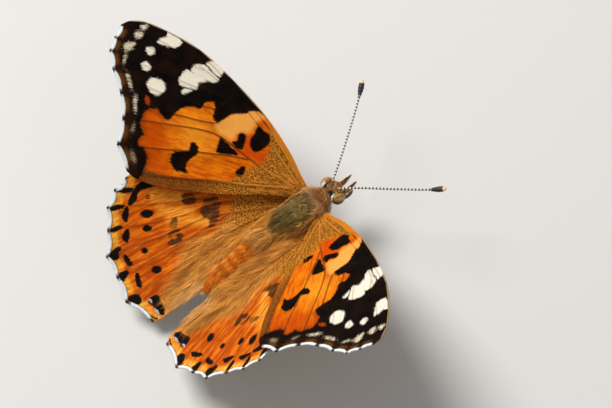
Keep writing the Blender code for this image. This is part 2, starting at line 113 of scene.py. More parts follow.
class Finish:
    """A material whose nodes are added one by one, ending in a Principled surface."""

    def __init__(self, name):
        self.material = bpy.data.materials.new(name)
        self.material.use_nodes = True
        self.tree = self.material.node_tree
        self.shader = self.tree.nodes["Principled BSDF"]

    def node(self, kind, settings, inputs, output=0):
        """Any node: its settings first, then values or links by socket; wraps one output."""
        made = self.tree.nodes.new(kind)
        for key, value in settings.items():
            if key == "stops":
                ramp = made.color_ramp
                while len(ramp.elements) < len(value):
                    ramp.elements.new(1.0)
                for element, (place, colour) in zip(ramp.elements, value):
                    element.position = place
                    element.color = (*colour, 1.0)
            else:
                setattr(made, key, value)
        for key, value in inputs.items():
            if isinstance(value, Signal):
                self.tree.links.new(value.socket, made.inputs[key])
            elif isinstance(value, tuple) and len(value) == 3 and made.inputs[key].type == "RGBA":
                made.inputs[key].default_value = (*value, 1.0)
            else:
                made.inputs[key].default_value = value
        return Signal(self, made.outputs[output])

    def field(self, name, output=2):
        """An attribute of the mesh: its number, or its vector with output=1."""
        return self.node("ShaderNodeAttribute", {"attribute_name": name}, {}, output)

    def mix(self, factor, first, second):
        """Colour that goes from first to second as factor goes from 0 to 1."""
        ends = {0: factor, 6: first, 7: second}
        return self.node("ShaderNodeMix", {"data_type": "RGBA"}, ends, 2)

    def layers(self, colour, *coats):
        """A first colour with others laid over it in turn, each as strongly as its factor."""
        for factor, over in coats:
            colour = self.mix(factor, colour, over)
        return colour

    def shaded(self, colour, value):
        """Colour made lighter or darker by a factor."""
        return self.node("ShaderNodeHueSaturation", {}, {"Color": colour, "Value": value})

    def noise(self, vector, scale, detail=2.0):
        """Smooth random number about 0.5, with scale features to each unit of vector."""
        inputs = {"Vector": vector, "Scale": scale, "Detail": detail}
        return self.node("ShaderNodeTexNoise", {}, inputs)

    def stretched(self, vector, scale):
        """A vector with its three parts multiplied by those of scale."""
        return self.node("ShaderNodeVectorMath", {"operation": "MULTIPLY"}, {0: vector, 1: scale})

    def surface(self, colour, roughness, height=None, depth_mm=0.02, **uniform):
        """Feed the Principled shader; height drives a bump depth_mm deep."""
        for key, value in (("Base Color", colour), ("Roughness", roughness)):
            socket = self.shader.inputs[key]
            if isinstance(value, Signal):
                self.tree.links.new(value.socket, socket)
            else:
                socket.default_value = (*value, 1.0) if isinstance(value, tuple) else value
        if height is not None:
            bump = self.node("ShaderNodeBump", {}, {"Height": height, "Distance": depth_mm * MM})
            self.tree.links.new(bump.socket, self.shader.inputs["Normal"])
        for key, value in uniform.items():
            self.shader.inputs[key.replace("_", " ")].default_value = value
        return self.material


def through(p0, p1, p2, p3, steps):
    """Catmull-Rom curve between each p1 and p2, with p0 and p3 as the knots beyond them."""
    t = np.linspace(0, 1, steps, endpoint=False)[:, None, None]
    fine = 0.5 * (2 * p1 + (p2 - p0) * t + (2 * p0 - 5 * p1 + 4 * p2 - p3) * t ** 2
                  + (3 * p1 - p0 - 3 * p2 + p3) * t ** 3)
    return fine.transpose(1, 0, 2).reshape(-1, p0.shape[1])


def line(points, count):
    """Evenly spaced points on the Catmull-Rom curve that runs through the given ones."""
    knots = np.array(points, float)
    knots = np.vstack([2 * knots[0] - knots[1], knots, 2 * knots[-1] - knots[-2]])
    fine = np.vstack([through(knots[:-3], knots[1:-2], knots[2:-1], knots[3:], 24), knots[-2]])
    run = np.r_[0, np.cumsum(np.linalg.norm(np.diff(fine, axis=0), axis=1))]
    even = np.linspace(0, run[-1], count)
    return np.stack([np.interp(even, run, fine[:, k]) for k in range(fine.shape[1])], 1)


def unit(vectors):
    """Vectors brought to length one."""
    return vectors / np.maximum(np.linalg.norm(vectors, axis=-1, keepdims=True), 1e-12)


def piece(name, points, faces, corners, fields, material, nodes=()):
    """Mesh object from points in body millimetres, faces as index arrays, a UV for each
    corner in the same order, and fields as one number or vector to each point. The sign of
    the volume that the faces enclose tells whether they must be turned to look outwards."""
    fans = [points[f] - points.mean(axis=0) for f in faces]
    volume = sum(np.sum(np.cross(f[:, k], f[:, k + 1]) * f[:, 0]) for f in fans
                 for k in range(1, f.shape[1] - 1))
    if volume < 0:
        cuts = np.cumsum([f.size for f in faces])[:-1]
        blocks = [c.reshape(*f.shape, 2)[:, ::-1] for f, c in zip(faces, np.split(corners, cuts))]
        corners = np.concatenate([b.reshape(-1, 2) for b in blocks])
        faces = [f[:, ::-1] for f in faces]
    mesh = bpy.data.meshes.new(name)
    counts = np.concatenate([np.full(len(f), f.shape[1]) for f in faces])
    loops = np.concatenate([f.ravel() for f in faces]).astype(np.int32)
    mesh.vertices.add(len(points))
    mesh.vertices.foreach_set("co", stand(points).astype(np.float32).ravel())
    mesh.loops.add(len(loops))
    mesh.loops.foreach_set("vertex_index", loops)
    mesh.polygons.add(len(counts))
    mesh.polygons.foreach_set("loop_start", np.r_[0, np.cumsum(counts)[:-1]].astype(np.int32))
    mesh.update(calc_edges=True)
    mesh.validate()
    mesh.shade_smooth()
    layer = mesh.uv_layers.new(name="OFBake")
    layer.data.foreach_set("uv", np.asarray(corners, np.float32).ravel())
    for key, values in fields.items():
        values = np.asarray(values, np.float32)
        kind = "FLOAT" if values.ndim == 1 else "FLOAT_VECTOR"
        attribute = mesh.attributes.new(key, kind, "POINT")
        attribute.data.foreach_set("value" if kind == "FLOAT" else "vector", values.ravel())
    mesh.materials.append(material)
    made = bpy.data.objects.new(name, mesh)
    bpy.context.scene.collection.objects.link(made)
    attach(made, "root")
    if nodes:
        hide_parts(*nodes)


def grid_faces(rows, around):
    """Quads of a grid whose rows each close on themselves, and for every corner its row,
    counted from 1, and its place in the row."""
    i, j = np.meshgrid(np.arange(rows - 1), np.arange(around), indexing="ij")
    i, j = i.ravel(), j.ravel()
    k = (j + 1) % around
    quads = np.stack([i * around + j, i * around + k, (i + 1) * around + k, (i + 1) * around + j], 1)
    return quads, np.stack([i + 1, j, i + 1, j + 1, i + 2, j + 1, i + 2, j], 1).reshape(-1, 2)


def tube_faces(rows, sides):
    """Faces of a closed tube: its grid and a fan to the point at either end, and the UV of
    every corner, the row along one axis and the way round along the other."""
    quads, square = grid_faces(rows, sides)
    ring = np.arange(sides)
    after = (ring + 1) % sides
    still = 0 * ring
    end = rows * sides
    first = np.stack([still + end, after, ring], 1)
    last = np.stack([still + end + 1, end - sides + ring, end - sides + after], 1)
    low = np.stack([still, ring + 0.5, still + 1, ring + 1, still + 1, ring], 1)
    high = np.stack([still + rows + 1, ring + 0.5, still + rows, ring, still + rows, ring + 1], 1)
    corners = np.concatenate([square, low.reshape(-1, 2), high.reshape(-1, 2)])
    return [quads, np.concatenate([first, last])], corners / (rows + 1, sides)


# (y, half width, height above the axis, depth below it), from the face back to the waist
BODY_STATIONS = np.array([
    (6.52, 0.22, 0.22, 0.25), (6.42, 0.5, 0.5, 0.55), (6.15, 0.82, 0.82, 0.85),
    (5.7, 1.08, 1.0, 1.05), (5.2, 1.14, 1.05, 1.1), (4.7, 1.02, 0.95, 1.0),
    (4.35, 0.94, 0.84, 0.9), (4.05, 1.04, 0.93, 0.97), (3.8, 1.28, 1.12, 1.16),
    (3.45, 1.56, 1.34, 1.38), (3.0, 1.78, 1.52, 1.56), (2.2, 1.98, 1.68, 1.75),
    (1.0, 2.16, 1.86, 1.9), (-0.5, 2.1, 1.88, 1.9), (-1.8, 1.8, 1.6, 1.65),
    (-2.8, 1.35, 1.2, 1.3), (-3.4, 1.0, 0.92, 0.96), (-3.75, 0.9, 0.84, 0.88),
    (-4.1, 0.98, 0.92, 0.92)])
ABDOMEN_START = -4.1
ABDOMEN_END = -15.35
ABDOMEN_HALF_WIDTH = 1.24
ABDOMEN_TIP_SHIFT = (0.3, -1.95)
ABDOMEN_BEND = 1.6
ABDOMEN_RINGS = 8
SQUARENESS = 0.92
BODY_ROWS = 420
BODY_SIDES = 120


def body_sizes(y):
    """Half width, height and depth of the body at each y, and how far its axis lies aside and
    above: stations joined by a smooth curve in front, and behind the waist a swelling and
    tapering cone of rings that bends down and a little to the right."""
    smooth = line(BODY_STATIONS, 400)[::-1]
    front = [np.interp(y, smooth[:, 0], smooth[:, k]) for k in (1, 2, 3)]
    along = np.clip((y - ABDOMEN_START) / (ABDOMEN_END - ABDOMEN_START), 0, 1)
    swell = np.sin(np.pi * np.minimum(1.0, 0.2 + 0.58 * along ** 0.8)) ** 0.55
    taper = 1 - np.maximum(0, (along - 0.78) / 0.22) ** 2.4 * 0.78
    ring = (along * ABDOMEN_RINGS) % 1.0
    overlap = 1 + 0.03 * (ring - 0.5) * np.clip(along * 9, 0, 1) - 0.03 * np.exp(-(ring / 0.1) ** 2)
    back = ABDOMEN_HALF_WIDTH * swell * taper * overlap
    blend = np.clip((ABDOMEN_START + 0.5 - y) / 0.9, 0, 1)
    sizes = [f * (1 - blend) + back * b * blend for f, b in zip(front, (1.0, 0.98, 0.95))]
    return sizes + [shift * along ** ABDOMEN_BEND for shift in ABDOMEN_TIP_SHIFT]


def body_at(y, angle):
    """Points of the body's skin: half ellipses above and below an axis, a little squared.
    The angle is 0 on the insect's right and a quarter turn on its back."""
    half_width, above, below, aside, axis = body_sizes(y)
    c, s = np.cos(angle), np.sin(angle)
    x = aside + half_width * np.sign(c) * np.abs(c) ** SQUARENESS
    z = np.where(s > 0, above, below) * np.sign(s) * np.abs(s) ** SQUARENESS
    return np.stack([x, y, axis + z], -1)


def body_frame(y, angle):
    """Point, outward normal and rearward direction of the skin, by small differences."""
    here = body_at(y, angle)
    back = unit(body_at(y - 0.02, angle) - here)
    around = unit(body_at(y, angle + 0.01) - here)
    return here, unit(np.cross(around, back)), back


def glow_pair(y, angle, middle, length, width):
    """A patch on either side of the head's top, fading out along y and round the skin."""
    return np.exp(-((y - middle) / length) ** 2 - ((np.abs(np.cos(angle)) - 0.8) / width) ** 2)


def body_marks(y, angle):
    """Fields of the body's colouring: how far up a place is, where the olive shield of the
    thorax lies, the place within an abdomen ring, and the shares of abdomen, straw-coloured
    rear, head, collar, of the collar's pale frill and of the black and white behind the eyes."""
    up = np.sin(angle)
    shield = (np.cos(angle) / 0.72) ** 2 + ((y - 0.5) / 2.65) ** 2
    along = np.clip((y - ABDOMEN_START) / (ABDOMEN_END - ABDOMEN_START), 0, 1)
    return {"up": up, "shield": np.where(up > 0, shield, 4.0), "ring": (along * ABDOMEN_RINGS) % 1.0,
            "abdomen": np.clip((-5.2 - y) / 2.4, 0, 1), "rear": np.clip((0.6 - y) / 2.0, 0, 1),
            "head": np.clip((y - 4.2) / 0.15, 0, 1), "collar": np.exp(-((y - 3.7) / 0.7) ** 2),
            "frill": np.exp(-((y - 3.05) / 0.12) ** 2),
            "socket": np.exp(-((y - 4.45) / 0.3) ** 2) + glow_pair(y, angle, 4.95, 0.3, 0.5),
            "orbit": glow_pair(y, angle, 4.72, 0.13, 0.4)}


def body_colour(finish):
    """Colour shared by the body's skin and its hair, from the fields of body_marks."""
    spot = finish.noise(finish.field("lie", 1), 1.6, 3.0)
    strand = finish.field("shade")
    fleck = spot + strand * 0.3
    tan = finish.mix(fleck.rise(0.45, 0.8), (0.34, 0.14, 0.024), (0.74, 0.38, 0.10))
    straw = finish.mix(fleck.rise(0.4, 0.8), (0.38, 0.16, 0.025), (0.84, 0.43, 0.09))
    olive = finish.mix((spot + strand * 0.4).rise(0.45, 0.85), (0.05, 0.031, 0.005), (0.30, 0.20, 0.05))
    ruff = finish.mix((spot + strand * 0.5).rise(0.5, 0.95), (0.34, 0.13, 0.035), (0.66, 0.32, 0.10))
    shield = finish.field("shield") + (spot - 0.5) * 1.6
    thorax = finish.layers(
        tan,
        (finish.field("rear"), straw),
        (shield.rise(1.5, 0.7), olive),
        (shield.rise(0.7, 1.1) * shield.rise(1.7, 1.3) * 0.6, (0.10, 0.05, 0.012)),
        (finish.field("collar") * 0.85, ruff),
        (finish.field("frill") * 0.7, (0.78, 0.60, 0.36)))
    ring = finish.field("ring") + (spot - 0.5) * 0.5
    rings = finish.layers(
        (0.72, 0.17, 0.003),
        ((ring + strand * 0.4).rise(0.5, 1.3), (0.98, 0.38, 0.03)),
        (ring.rise(0.2, 0.0) * 0.15, (0.40, 0.09, 0.004)))
    head = finish.layers(
        (0.06, 0.026, 0.009),
        ((spot * 0.5 + strand * 0.7).rise(0.4, 0.7), (0.62, 0.27, 0.06)),
        (strand.rise(0.86, 0.94) * 0.7, (0.80, 0.66, 0.44)),
        (finish.field("socket").rise(0.35, 0.65), (0.018, 0.009, 0.005)),
        (finish.field("orbit").rise(0.3, 0.6), (0.84, 0.79, 0.68)))
    belly = finish.mix(spot, (0.5, 0.38, 0.22), (0.68, 0.58, 0.42))
    return finish.layers(
        thorax,
        (finish.field("abdomen"), rings),
        (finish.field("head"), head),
        (finish.field("up").rise(0.05, -0.45), belly))


skin_finish = Finish("horny skin")
grain = skin_finish.noise(skin_finish.field("lie", 1), 9.0)
# Painted shade: the skin takes the body's colour darkened to 0.62, so that the gaps between the hairs read
# as shadow.
painted_shade_skin_colour = skin_finish.shaded(body_colour(skin_finish), 0.62)
skin_material = skin_finish.surface(painted_shade_skin_colour, 0.7, grain, 0.05, Specular_IOR_Level=0.3)

skin_share = np.linspace(0, 1, BODY_ROWS)
skin_y = np.interp(skin_share, (0, 0.25, 0.55, 1), (6.5, 3.9, -3.6, ABDOMEN_END))
skin_angle = np.linspace(0, 2 * np.pi, BODY_SIDES, endpoint=False)
grid_y, grid_angle = np.meshgrid(skin_y, skin_angle, indexing="ij")
skin_points = body_at(grid_y.ravel(), grid_angle.ravel())
tips = np.array([[0.0, 6.56, 0.0], [ABDOMEN_TIP_SHIFT[0], ABDOMEN_END - 0.12, ABDOMEN_TIP_SHIFT[1]]])
skin_points = np.vstack([skin_points, tips])
all_y = np.r_[grid_y.ravel(), tips[:, 1]]
all_angle = np.r_[grid_angle.ravel(), np.pi / 2, np.pi / 2]
skin_faces, skin_corners = tube_faces(BODY_ROWS, BODY_SIDES)
skin_fields = {**body_marks(all_y, all_angle), "lie": skin_points, "shade": 0 * all_y + 0.3}
piece("body_skin", skin_points, skin_faces, skin_corners, skin_fields, skin_material,
      ("head", "thorax", "abdomen"))


# The coat of the body: long soft hair on the thorax and the waist, combed back from a ruffled
# collar, a sleek olive shield on its top, short scales on the abdomen and bristling tufts on
# the head.
THORAX_HAIRS = 8500
COLLAR_HAIRS = 4600
WAIST_HAIRS = 6000
ABDOMEN_SCALES = 9000
HEAD_HAIRS = 4200
BROW_HAIRS = 1100
HAIR_POINTS = 10
COAT_FRONT = 6.6
COAT_LENGTH = 21.6
rng = np.random.default_rng(3)


def tufts(root, along, normal, length, width, lift, droop, patch):
    """Tapered three-sided hairs. The middle line goes from the root along its direction and
    rises by lift and falls by droop along the normal, as shares of the length; the width
    shrinks to a point. patch is each hair's place in the unwrap. Returns points, faces,
    corners and the share of length."""
    stations = np.array([0.0, 0.3, 0.66])
    across = unit(np.cross(normal, along))
    length, lift, droop = (np.broadcast_to(v, len(root))[:, None] for v in (length, lift, droop))

    def middle(t):
        """Places on the middle lines at a share t of the length."""
        return root + along * length * t + normal * length * (lift * t - droop * t * t)

    rows = []
    for t in stations:
        half = (0.5 * width * (1 - t) ** 0.6)[:, None]
        centre = middle(t)
        rows += [centre - across * half, centre + across * half, centre + normal * half]
    rows.append(middle(1.0))
    base = np.arange(len(root))[:, None, None] * HAIR_POINTS
    sides = [[3 * k + a, 3 * k + b, 3 * k + 3 + b, 3 * k + 3 + a]
             for k in (0, 1) for a, b in ((0, 1), (1, 2), (2, 0))]
    quads = (base + np.array(sides)).reshape(-1, 4)
    ends = (base + np.array([[6, 7, 9], [7, 8, 9], [8, 6, 9], [2, 1, 0]])).reshape(-1, 3)
    t = np.r_[np.repeat(stations, 3), 1.0]
    offset = np.stack([np.tile([-1.0, 1.0, 0.0], 4)[:HAIR_POINTS], t * 2 - 1], 1) * 0.0015
    spots = (patch[:, None] + offset).reshape(-1, 2)
    corners = np.concatenate([spots[f.ravel()] for f in (quads, ends)])
    return np.stack(rows, 1).reshape(-1, 3), [quads, ends], corners, np.tile(t, len(root))


def hair_piece(name, hairs, fields, material):
    """A piece of tufts, with fields that hold one value for each hair."""
    points, faces, corners, share = hairs
    fields = {key: np.repeat(values, HAIR_POINTS, axis=0) for key, values in fields.items()}
    piece(name, points, faces, corners, {**fields, "tip": share}, material)


def inset(along, around):
    """Places in the unwrap from two shares of 0 to 1, kept off its border."""
    return 0.02 + 0.96 * np.stack([along, around], 1)


def eased(values, low, high):
    """0 at low and 1 at high, eased between."""
    t = np.clip((values - low) / (high - low), 0, 1)
    return t * t * (3 - 2 * t)


def combed(normal, back, sideways, stray):
    """Direction of each hair: rearward, turned by an angle sideways and by a random stray."""
    turn = sideways + rng.normal(0, stray, len(back))
    across = np.cross(normal, back)
    return unit(back * np.cos(turn)[:, None] + across * np.sin(turn)[:, None])


def coat(name, y, angle, length, width, lift, droop, sideways, stray):
    """A coat of hairs rooted on the body's skin at the given places."""
    root, normal, back = body_frame(y, angle)
    shade = rng.random(len(y))
    hairs = tufts(root - normal * 0.03, combed(normal, back, sideways, stray), normal, length, width,
                  lift, droop, inset((COAT_FRONT - y) / COAT_LENGTH, angle % (2 * np.pi) / (2 * np.pi)))
    hair_piece(name, hairs, {**body_marks(y, angle), "lie": root, "shade": shade}, coat_material)


def hair_material(name, colour_of):
    """Soft hair: the colour of its place, each hair a little lighter or darker, tips pale."""
    finish = Finish(name)
    shade = finish.field("shade")
    tip = finish.field("tip")
    colour = finish.shaded(colour_of(finish), 0.36 + 1.1 * shade + 0.3 * tip)
    return finish.surface(colour, 0.6, Specular_IOR_Level=0.18)


def body_places(count, rear, front, low=0.0, high=2 * np.pi):
    """Random places on the body between two values of y and two angles."""
    return rng.uniform(rear, front, count), rng.uniform(low, high, count)


coat_material = hair_material("body hair", body_colour)
y, angle = body_places(THORAX_HAIRS, -3.9, 3.3)
on_shield = eased(body_marks(y, angle)["shield"], 1.7, 0.7)
coat("thorax_hair", y, angle,
     length=(1.3 - 0.6 * on_shield) * rng.uniform(0.7, 1.3, THORAX_HAIRS),
     width=rng.uniform(0.05, 0.09, THORAX_HAIRS),
     lift=0.5 - 0.28 * on_shield, droop=0.38 - 0.22 * on_shield, sideways=0.0, stray=0.22)

y, angle = body_places(COLLAR_HAIRS, 2.7, 4.3)
forward = rng.random(COLLAR_HAIRS) < eased(y, 3.2, 4.4)
coat("collar_hair", y, angle,
     length=rng.uniform(0.55, 1.1, COLLAR_HAIRS) * (1 - 0.45 * eased(y, 3.6, 4.3)),
     width=rng.uniform(0.035, 0.06, COLLAR_HAIRS), lift=rng.uniform(0.5, 1.1, COLLAR_HAIRS),
     droop=0.3, sideways=np.where(forward, np.pi, 0.0), stray=0.45)

y, angle = body_places(WAIST_HAIRS, -5.6, -0.2, -0.35, np.pi + 0.35)
coat("waist_hair", y, angle,
     length=rng.uniform(1.5, 3.0, WAIST_HAIRS), width=rng.uniform(0.04, 0.065, WAIST_HAIRS),
     lift=rng.uniform(0.15, 0.42, WAIST_HAIRS), droop=rng.uniform(0.1, 0.3, WAIST_HAIRS),
     sideways=0.0, stray=0.14)

y, angle = body_places(ABDOMEN_SCALES, ABDOMEN_END, ABDOMEN_START + 0.3)
coat("abdomen_scales", y, angle,
     length=rng.uniform(0.5, 1.1, ABDOMEN_SCALES), width=rng.uniform(0.045, 0.075, ABDOMEN_SCALES),
     lift=rng.uniform(0.1, 0.3, ABDOMEN_SCALES), droop=0.14, sideways=0.0, stray=0.16)

y, angle = body_places(HEAD_HAIRS, 4.25, 6.3)
coat("head_hair", y, angle,
     length=rng.uniform(0.25, 0.6, HEAD_HAIRS), width=rng.uniform(0.028, 0.042, HEAD_HAIRS),
     lift=rng.uniform(0.25, 0.7, HEAD_HAIRS), droop=0.3, sideways=np.where(y > 5.0, np.pi, 0.0),
     stray=0.7)

y = rng.uniform(5.8, 6.45, BROW_HAIRS)
angle = rng.normal(np.pi / 2, 1.1, BROW_HAIRS)
coat("brow_hair", y, angle,
     length=rng.uniform(0.4, 0.9, BROW_HAIRS), width=rng.uniform(0.03, 0.042, BROW_HAIRS),
     lift=rng.uniform(0.1, 0.4, BROW_HAIRS), droop=0.2, sideways=np.pi, stray=0.35)


# The compound eyes: two large smooth domes, horn-yellow mottled with brown, whose surface is
# a mesh of tiny facets under a clear gloss. A ring of scales frames each, white behind.
EYE_RADII = np.array([0.66, 0.9, 0.98])
EYE_ROWS = 60
EYE_SIDES = 90
LASH_RING = np.array([0.0, 0.86, 0.94])
LASHES = 620
eye_finish = Finish("compound eye")
eye_place = eye_finish.field("lie", 1)
facets = eye_finish.node("ShaderNodeTexVoronoi", {"feature": "DISTANCE_TO_EDGE"},
                         {"Vector": eye_place, "Scale": 16.0})
mottle = eye_finish.noise(eye_place, 2.6, 3.0)
above = eye_finish.field("above") + (mottle - 0.5) * 0.9
ochre = eye_finish.mix(mottle.rise(0.38, 0.62), (0.56, 0.31, 0.045), (0.20, 0.09, 0.015))
# Painted shade: the lower, rear part of each eye is dark and its top and front ochre.
eye_colour = eye_finish.mix(above.rise(-0.25, 0.45), (0.035, 0.016, 0.007), ochre)
eye_colour = eye_finish.mix(facets.rise(0.05, 0.0) * 0.55, eye_colour, (0.02, 0.01, 0.004))
eye_material = eye_finish.surface(eye_colour, 0.35, facets.smaller(0.1), 0.05,
                                  Coat_Weight=0.25, Coat_Roughness=0.2)


def lash_colour(finish):
    """White behind and below the eye, mixed brown before and above it."""
    brown = finish.mix(finish.field("shade").rise(0.3, 0.7), (0.05, 0.022, 0.008), (0.60, 0.27, 0.07))
    return finish.mix(finish.field("white").rise(0.35, 0.55), brown, (0.86, 0.82, 0.72))


lash_material = hair_material("scales round the eye", lash_colour)
for side, sign in SIDES.items():
    mirror = np.array([sign, 1, 1])
    polar = np.linspace(0, np.pi, EYE_ROWS + 2)[1:-1]
    around = np.linspace(0, 2 * np.pi, EYE_SIDES, endpoint=False)
    p, q = np.meshgrid(polar, around, indexing="ij")
    dome = np.stack([np.cos(p), np.sin(p) * np.cos(q), np.sin(p) * np.sin(q)], -1).reshape(-1, 3)
    dome = np.vstack([dome, [1, 0, 0], [-1, 0, 0]]) * EYE_RADII
    faces, corners = tube_faces(EYE_ROWS, EYE_SIDES)
    piece("eye_dome_" + side, (dome + EYE_CENTRE) * mirror, faces, corners * 0.98 + 0.01,
          {"lie": dome, "above": dome[:, 2] + 0.5 * dome[:, 1]}, eye_material, ("eye_" + side,))
    a = rng.uniform(0, 2 * np.pi, LASHES)
    radial = np.stack([0 * a, np.cos(a), np.sin(a)], 1)
    depth = rng.uniform(-0.5, -0.3, LASHES)[:, None]
    root = EYE_CENTRE + (1, 0, 0) * depth + radial * LASH_RING
    flare = rng.uniform(0.1, 0.5, LASHES)[:, None]
    lean = unit(radial * flare + (1, 0, 0) + rng.normal(0, 0.2, (LASHES, 3)))
    hairs = tufts(root * mirror, lean * mirror, radial * mirror, rng.uniform(0.22, 0.42, LASHES),
                  rng.uniform(0.05, 0.08, LASHES), 0.1, 0.1, 0.5 + 0.46 * radial[:, 1:])
    white = 0.5 - 0.5 * np.cos(a - 0.35) + rng.normal(0, 0.06, LASHES)
    hair_piece("eye_lashes_" + side, hairs, {"white": white, "shade": rng.random(LASHES)},
               lash_material)


# The feelers: stiff shafts of some thirty short joints, black with a white ring to each, that
# end in a flattened black club with a cream tip.
ANTENNA_PATH = [(0.6, 6.0, 0.85), (2.6, 8.5, 0.92), (5.2, 11.5, 0.85), (8.2, 14.9, 0.95), (10.2, 17.1, 1.5)]
ANTENNA_ROWS = 260
ANTENNA_SIDES = 20
ANTENNA_JOINT = 0.47
SHAFT_RADIUS = 0.135
CLUB_RADIUS = 0.25
CLUB_LENGTH = 2.6
FLATNESS = 0.82


def rails(path, plumb=(0.0, 0.0, 1.0)):
    """A path with its direction and the unit vectors across and upward at each of its
    places; plumb is a direction that the path never takes."""
    along = unit(np.gradient(path, axis=0))
    across = unit(np.cross(along, plumb))
    return path, along, across, np.cross(across, along)


def tube(rail, half_width, half_height, sides):
    """Points of a round or oval tube: at each place of the path, cos times the half width
    across plus sin times the half height upward; the two end points close it."""
    path, _, across, upward = rail
    a = np.linspace(0, 2 * np.pi, sides, endpoint=False)
    rings = (path[:, None] + np.cos(a)[None, :, None] * (across * half_width[:, None])[:, None]
             + np.sin(a)[None, :, None] * (upward * half_height[:, None])[:, None])
    return np.vstack([rings.reshape(-1, 3), path[:1], path[-1:]])


def spread(values, sides):
    """A number for each place of a path given to all points of its tube."""
    return np.r_[np.repeat(values, sides), values[0], values[-1]]


def travelled(path):
    """Distance gone along a path at each of its places."""
    return np.r_[0, np.cumsum(np.linalg.norm(np.diff(path, axis=0), axis=1))]


antenna_finish = Finish("antenna")
run = antenna_finish.field("run")
ring = (run / ANTENNA_JOINT).fraction()
club = antenna_finish.field("club")
pale = ring.rise(0.38, 0.46) * ring.rise(1.0, 0.94) * club.rise(0.25, 0.02)
antenna_colour = antenna_finish.layers(
    (0.012, 0.010, 0.009),
    (pale * 0.9, (0.70, 0.62, 0.50)),
    (club.rise(0.78, 0.84), (0.78, 0.55, 0.28)),
    (run.rise(0.9, 0.2) * 0.8, (0.35, 0.17, 0.06)))
antenna_material = antenna_finish.surface(antenna_colour, 0.5, ring.rise(0.0, 0.2), 0.02)
for side, sign in SIDES.items():
    rail = rails(line(ANTENNA_PATH, ANTENNA_ROWS))
    run = travelled(rail[0])
    left = (run[-1] - run) / CLUB_LENGTH
    club = np.clip(1 - left, 0, 1)
    swell = np.where(left < 1, np.sin(np.pi * club ** 1.5) ** 0.7, 0)
    joint = 1 + 0.12 * np.cos(2 * np.pi * run / ANTENNA_JOINT)
    radius = (SHAFT_RADIUS + 0.06 * np.exp(-(run / 0.4) ** 2)) * joint + CLUB_RADIUS * swell
    radius = radius * np.clip(left * 9, 0.02, 1) ** 0.5
    points = tube(rail, radius, radius * FLATNESS, ANTENNA_SIDES) * (sign, 1, 1)
    faces, corners = tube_faces(ANTENNA_ROWS, ANTENNA_SIDES)
    fields = {"run": spread(run, ANTENNA_SIDES), "club": spread(club, ANTENNA_SIDES)}
    piece("feeler_" + side, points, faces, corners, fields, antenna_material,
          ("antenna_" + side,))


# The mouth: a rolled tongue like a watch spring, and on either side of it a palp, a short
# stalk thick with orange-brown scales that turns up in front of the face and ends dark.
PALP_PATH = [(0.6, 6.2, -0.95), (0.64, 7.3, -0.9), (0.62, 8.5, -0.5)]
PALP_ROWS = 60
PALP_SIDES = 24
PALP_RADIUS = 0.22
PALP_SCALES = 1800
TONGUE_CENTRE = (6.85, -2.55)
TONGUE_SIDES = 20
TONGUE_TURNS = 2.1
COIL_RADIUS = 0.98
COIL_STEP = 0.36


def palp_colour(finish):
    """White below, orange-brown above and dark at the tip."""
    spot = finish.noise(finish.field("lie", 1), 3.0)
    up = finish.field("up")
    run = finish.field("run")
    return finish.layers(
        (0.36, 0.14, 0.03),
        (spot.rise(0.35, 0.65), (0.60, 0.31, 0.09)),
        (up.rise(0.15, -0.35), (0.74, 0.66, 0.5)),
        (up.rise(0.6, 0.95) * run.rise(0.3, 0.5) * 0.85, (0.05, 0.03, 0.02)),
        ((run + (spot - 0.5) * 0.4).rise(0.7, 1.0) * 0.8, (0.11, 0.07, 0.045)))


def on_tube(rail, radius, t, a):
    """Places on a tube at shares t of its path and angles a round it: the middle and its
    direction there, the outward normal, the radius and the place in the unwrap."""
    share = np.linspace(0, 1, len(radius))
    middle, along, across, upward = (
        np.stack([np.interp(t, share, v[:, k]) for k in range(3)], 1) for v in rail)
    normal = unit(across * np.cos(a)[:, None] + upward * np.sin(a)[:, None])
    return middle, along, normal, np.interp(t, share, radius)[:, None], inset(t, a / (2 * np.pi))


palp_skin_finish = Finish("palp skin")
palp_skin_material = palp_skin_finish.surface(palp_colour(palp_skin_finish), 0.7)
palp_hair_material = hair_material("palp scales", palp_colour)
for side, sign in SIDES.items():
    mirror = np.array([sign, 1, 1])
    rail = rails(line(PALP_PATH, PALP_ROWS))
    share = np.linspace(0, 1, PALP_ROWS)
    radius = PALP_RADIUS * np.sin(np.pi * (0.36 + 0.62 * share)) ** 1.1
    points = tube(rail, radius, radius, PALP_SIDES) * mirror
    faces, corners = tube_faces(PALP_ROWS, PALP_SIDES)
    fields = {"run": spread(share, PALP_SIDES), "up": points[:, 2] * 0, "lie": points}
    piece("palp_skin_" + side, points, faces, corners, fields, palp_skin_material,
          ("palp_" + side,))
    t = rng.random(PALP_SCALES) ** 0.9 * 0.93
    a = rng.uniform(0, 2 * np.pi, PALP_SCALES)
    middle, along, normal, thick, patch = on_tube(rail, radius, t, a)
    root = middle + normal * thick * 0.9
    lean = unit(along + normal * 0.12 + rng.normal(0, 0.1, (PALP_SCALES, 3)))
    hairs = tufts(root * mirror, lean * mirror, normal * mirror,
                  rng.uniform(0.25, 0.6, PALP_SCALES) * (1.1 - 0.4 * t),
                  rng.uniform(0.03, 0.045, PALP_SCALES), 0.32 - 0.28 * t, 0.15, patch)
    fields = {"run": t, "up": np.sin(a), "lie": root, "shade": rng.random(PALP_SCALES)}
    hair_piece("palp_scales_" + side, hairs, fields, palp_hair_material)

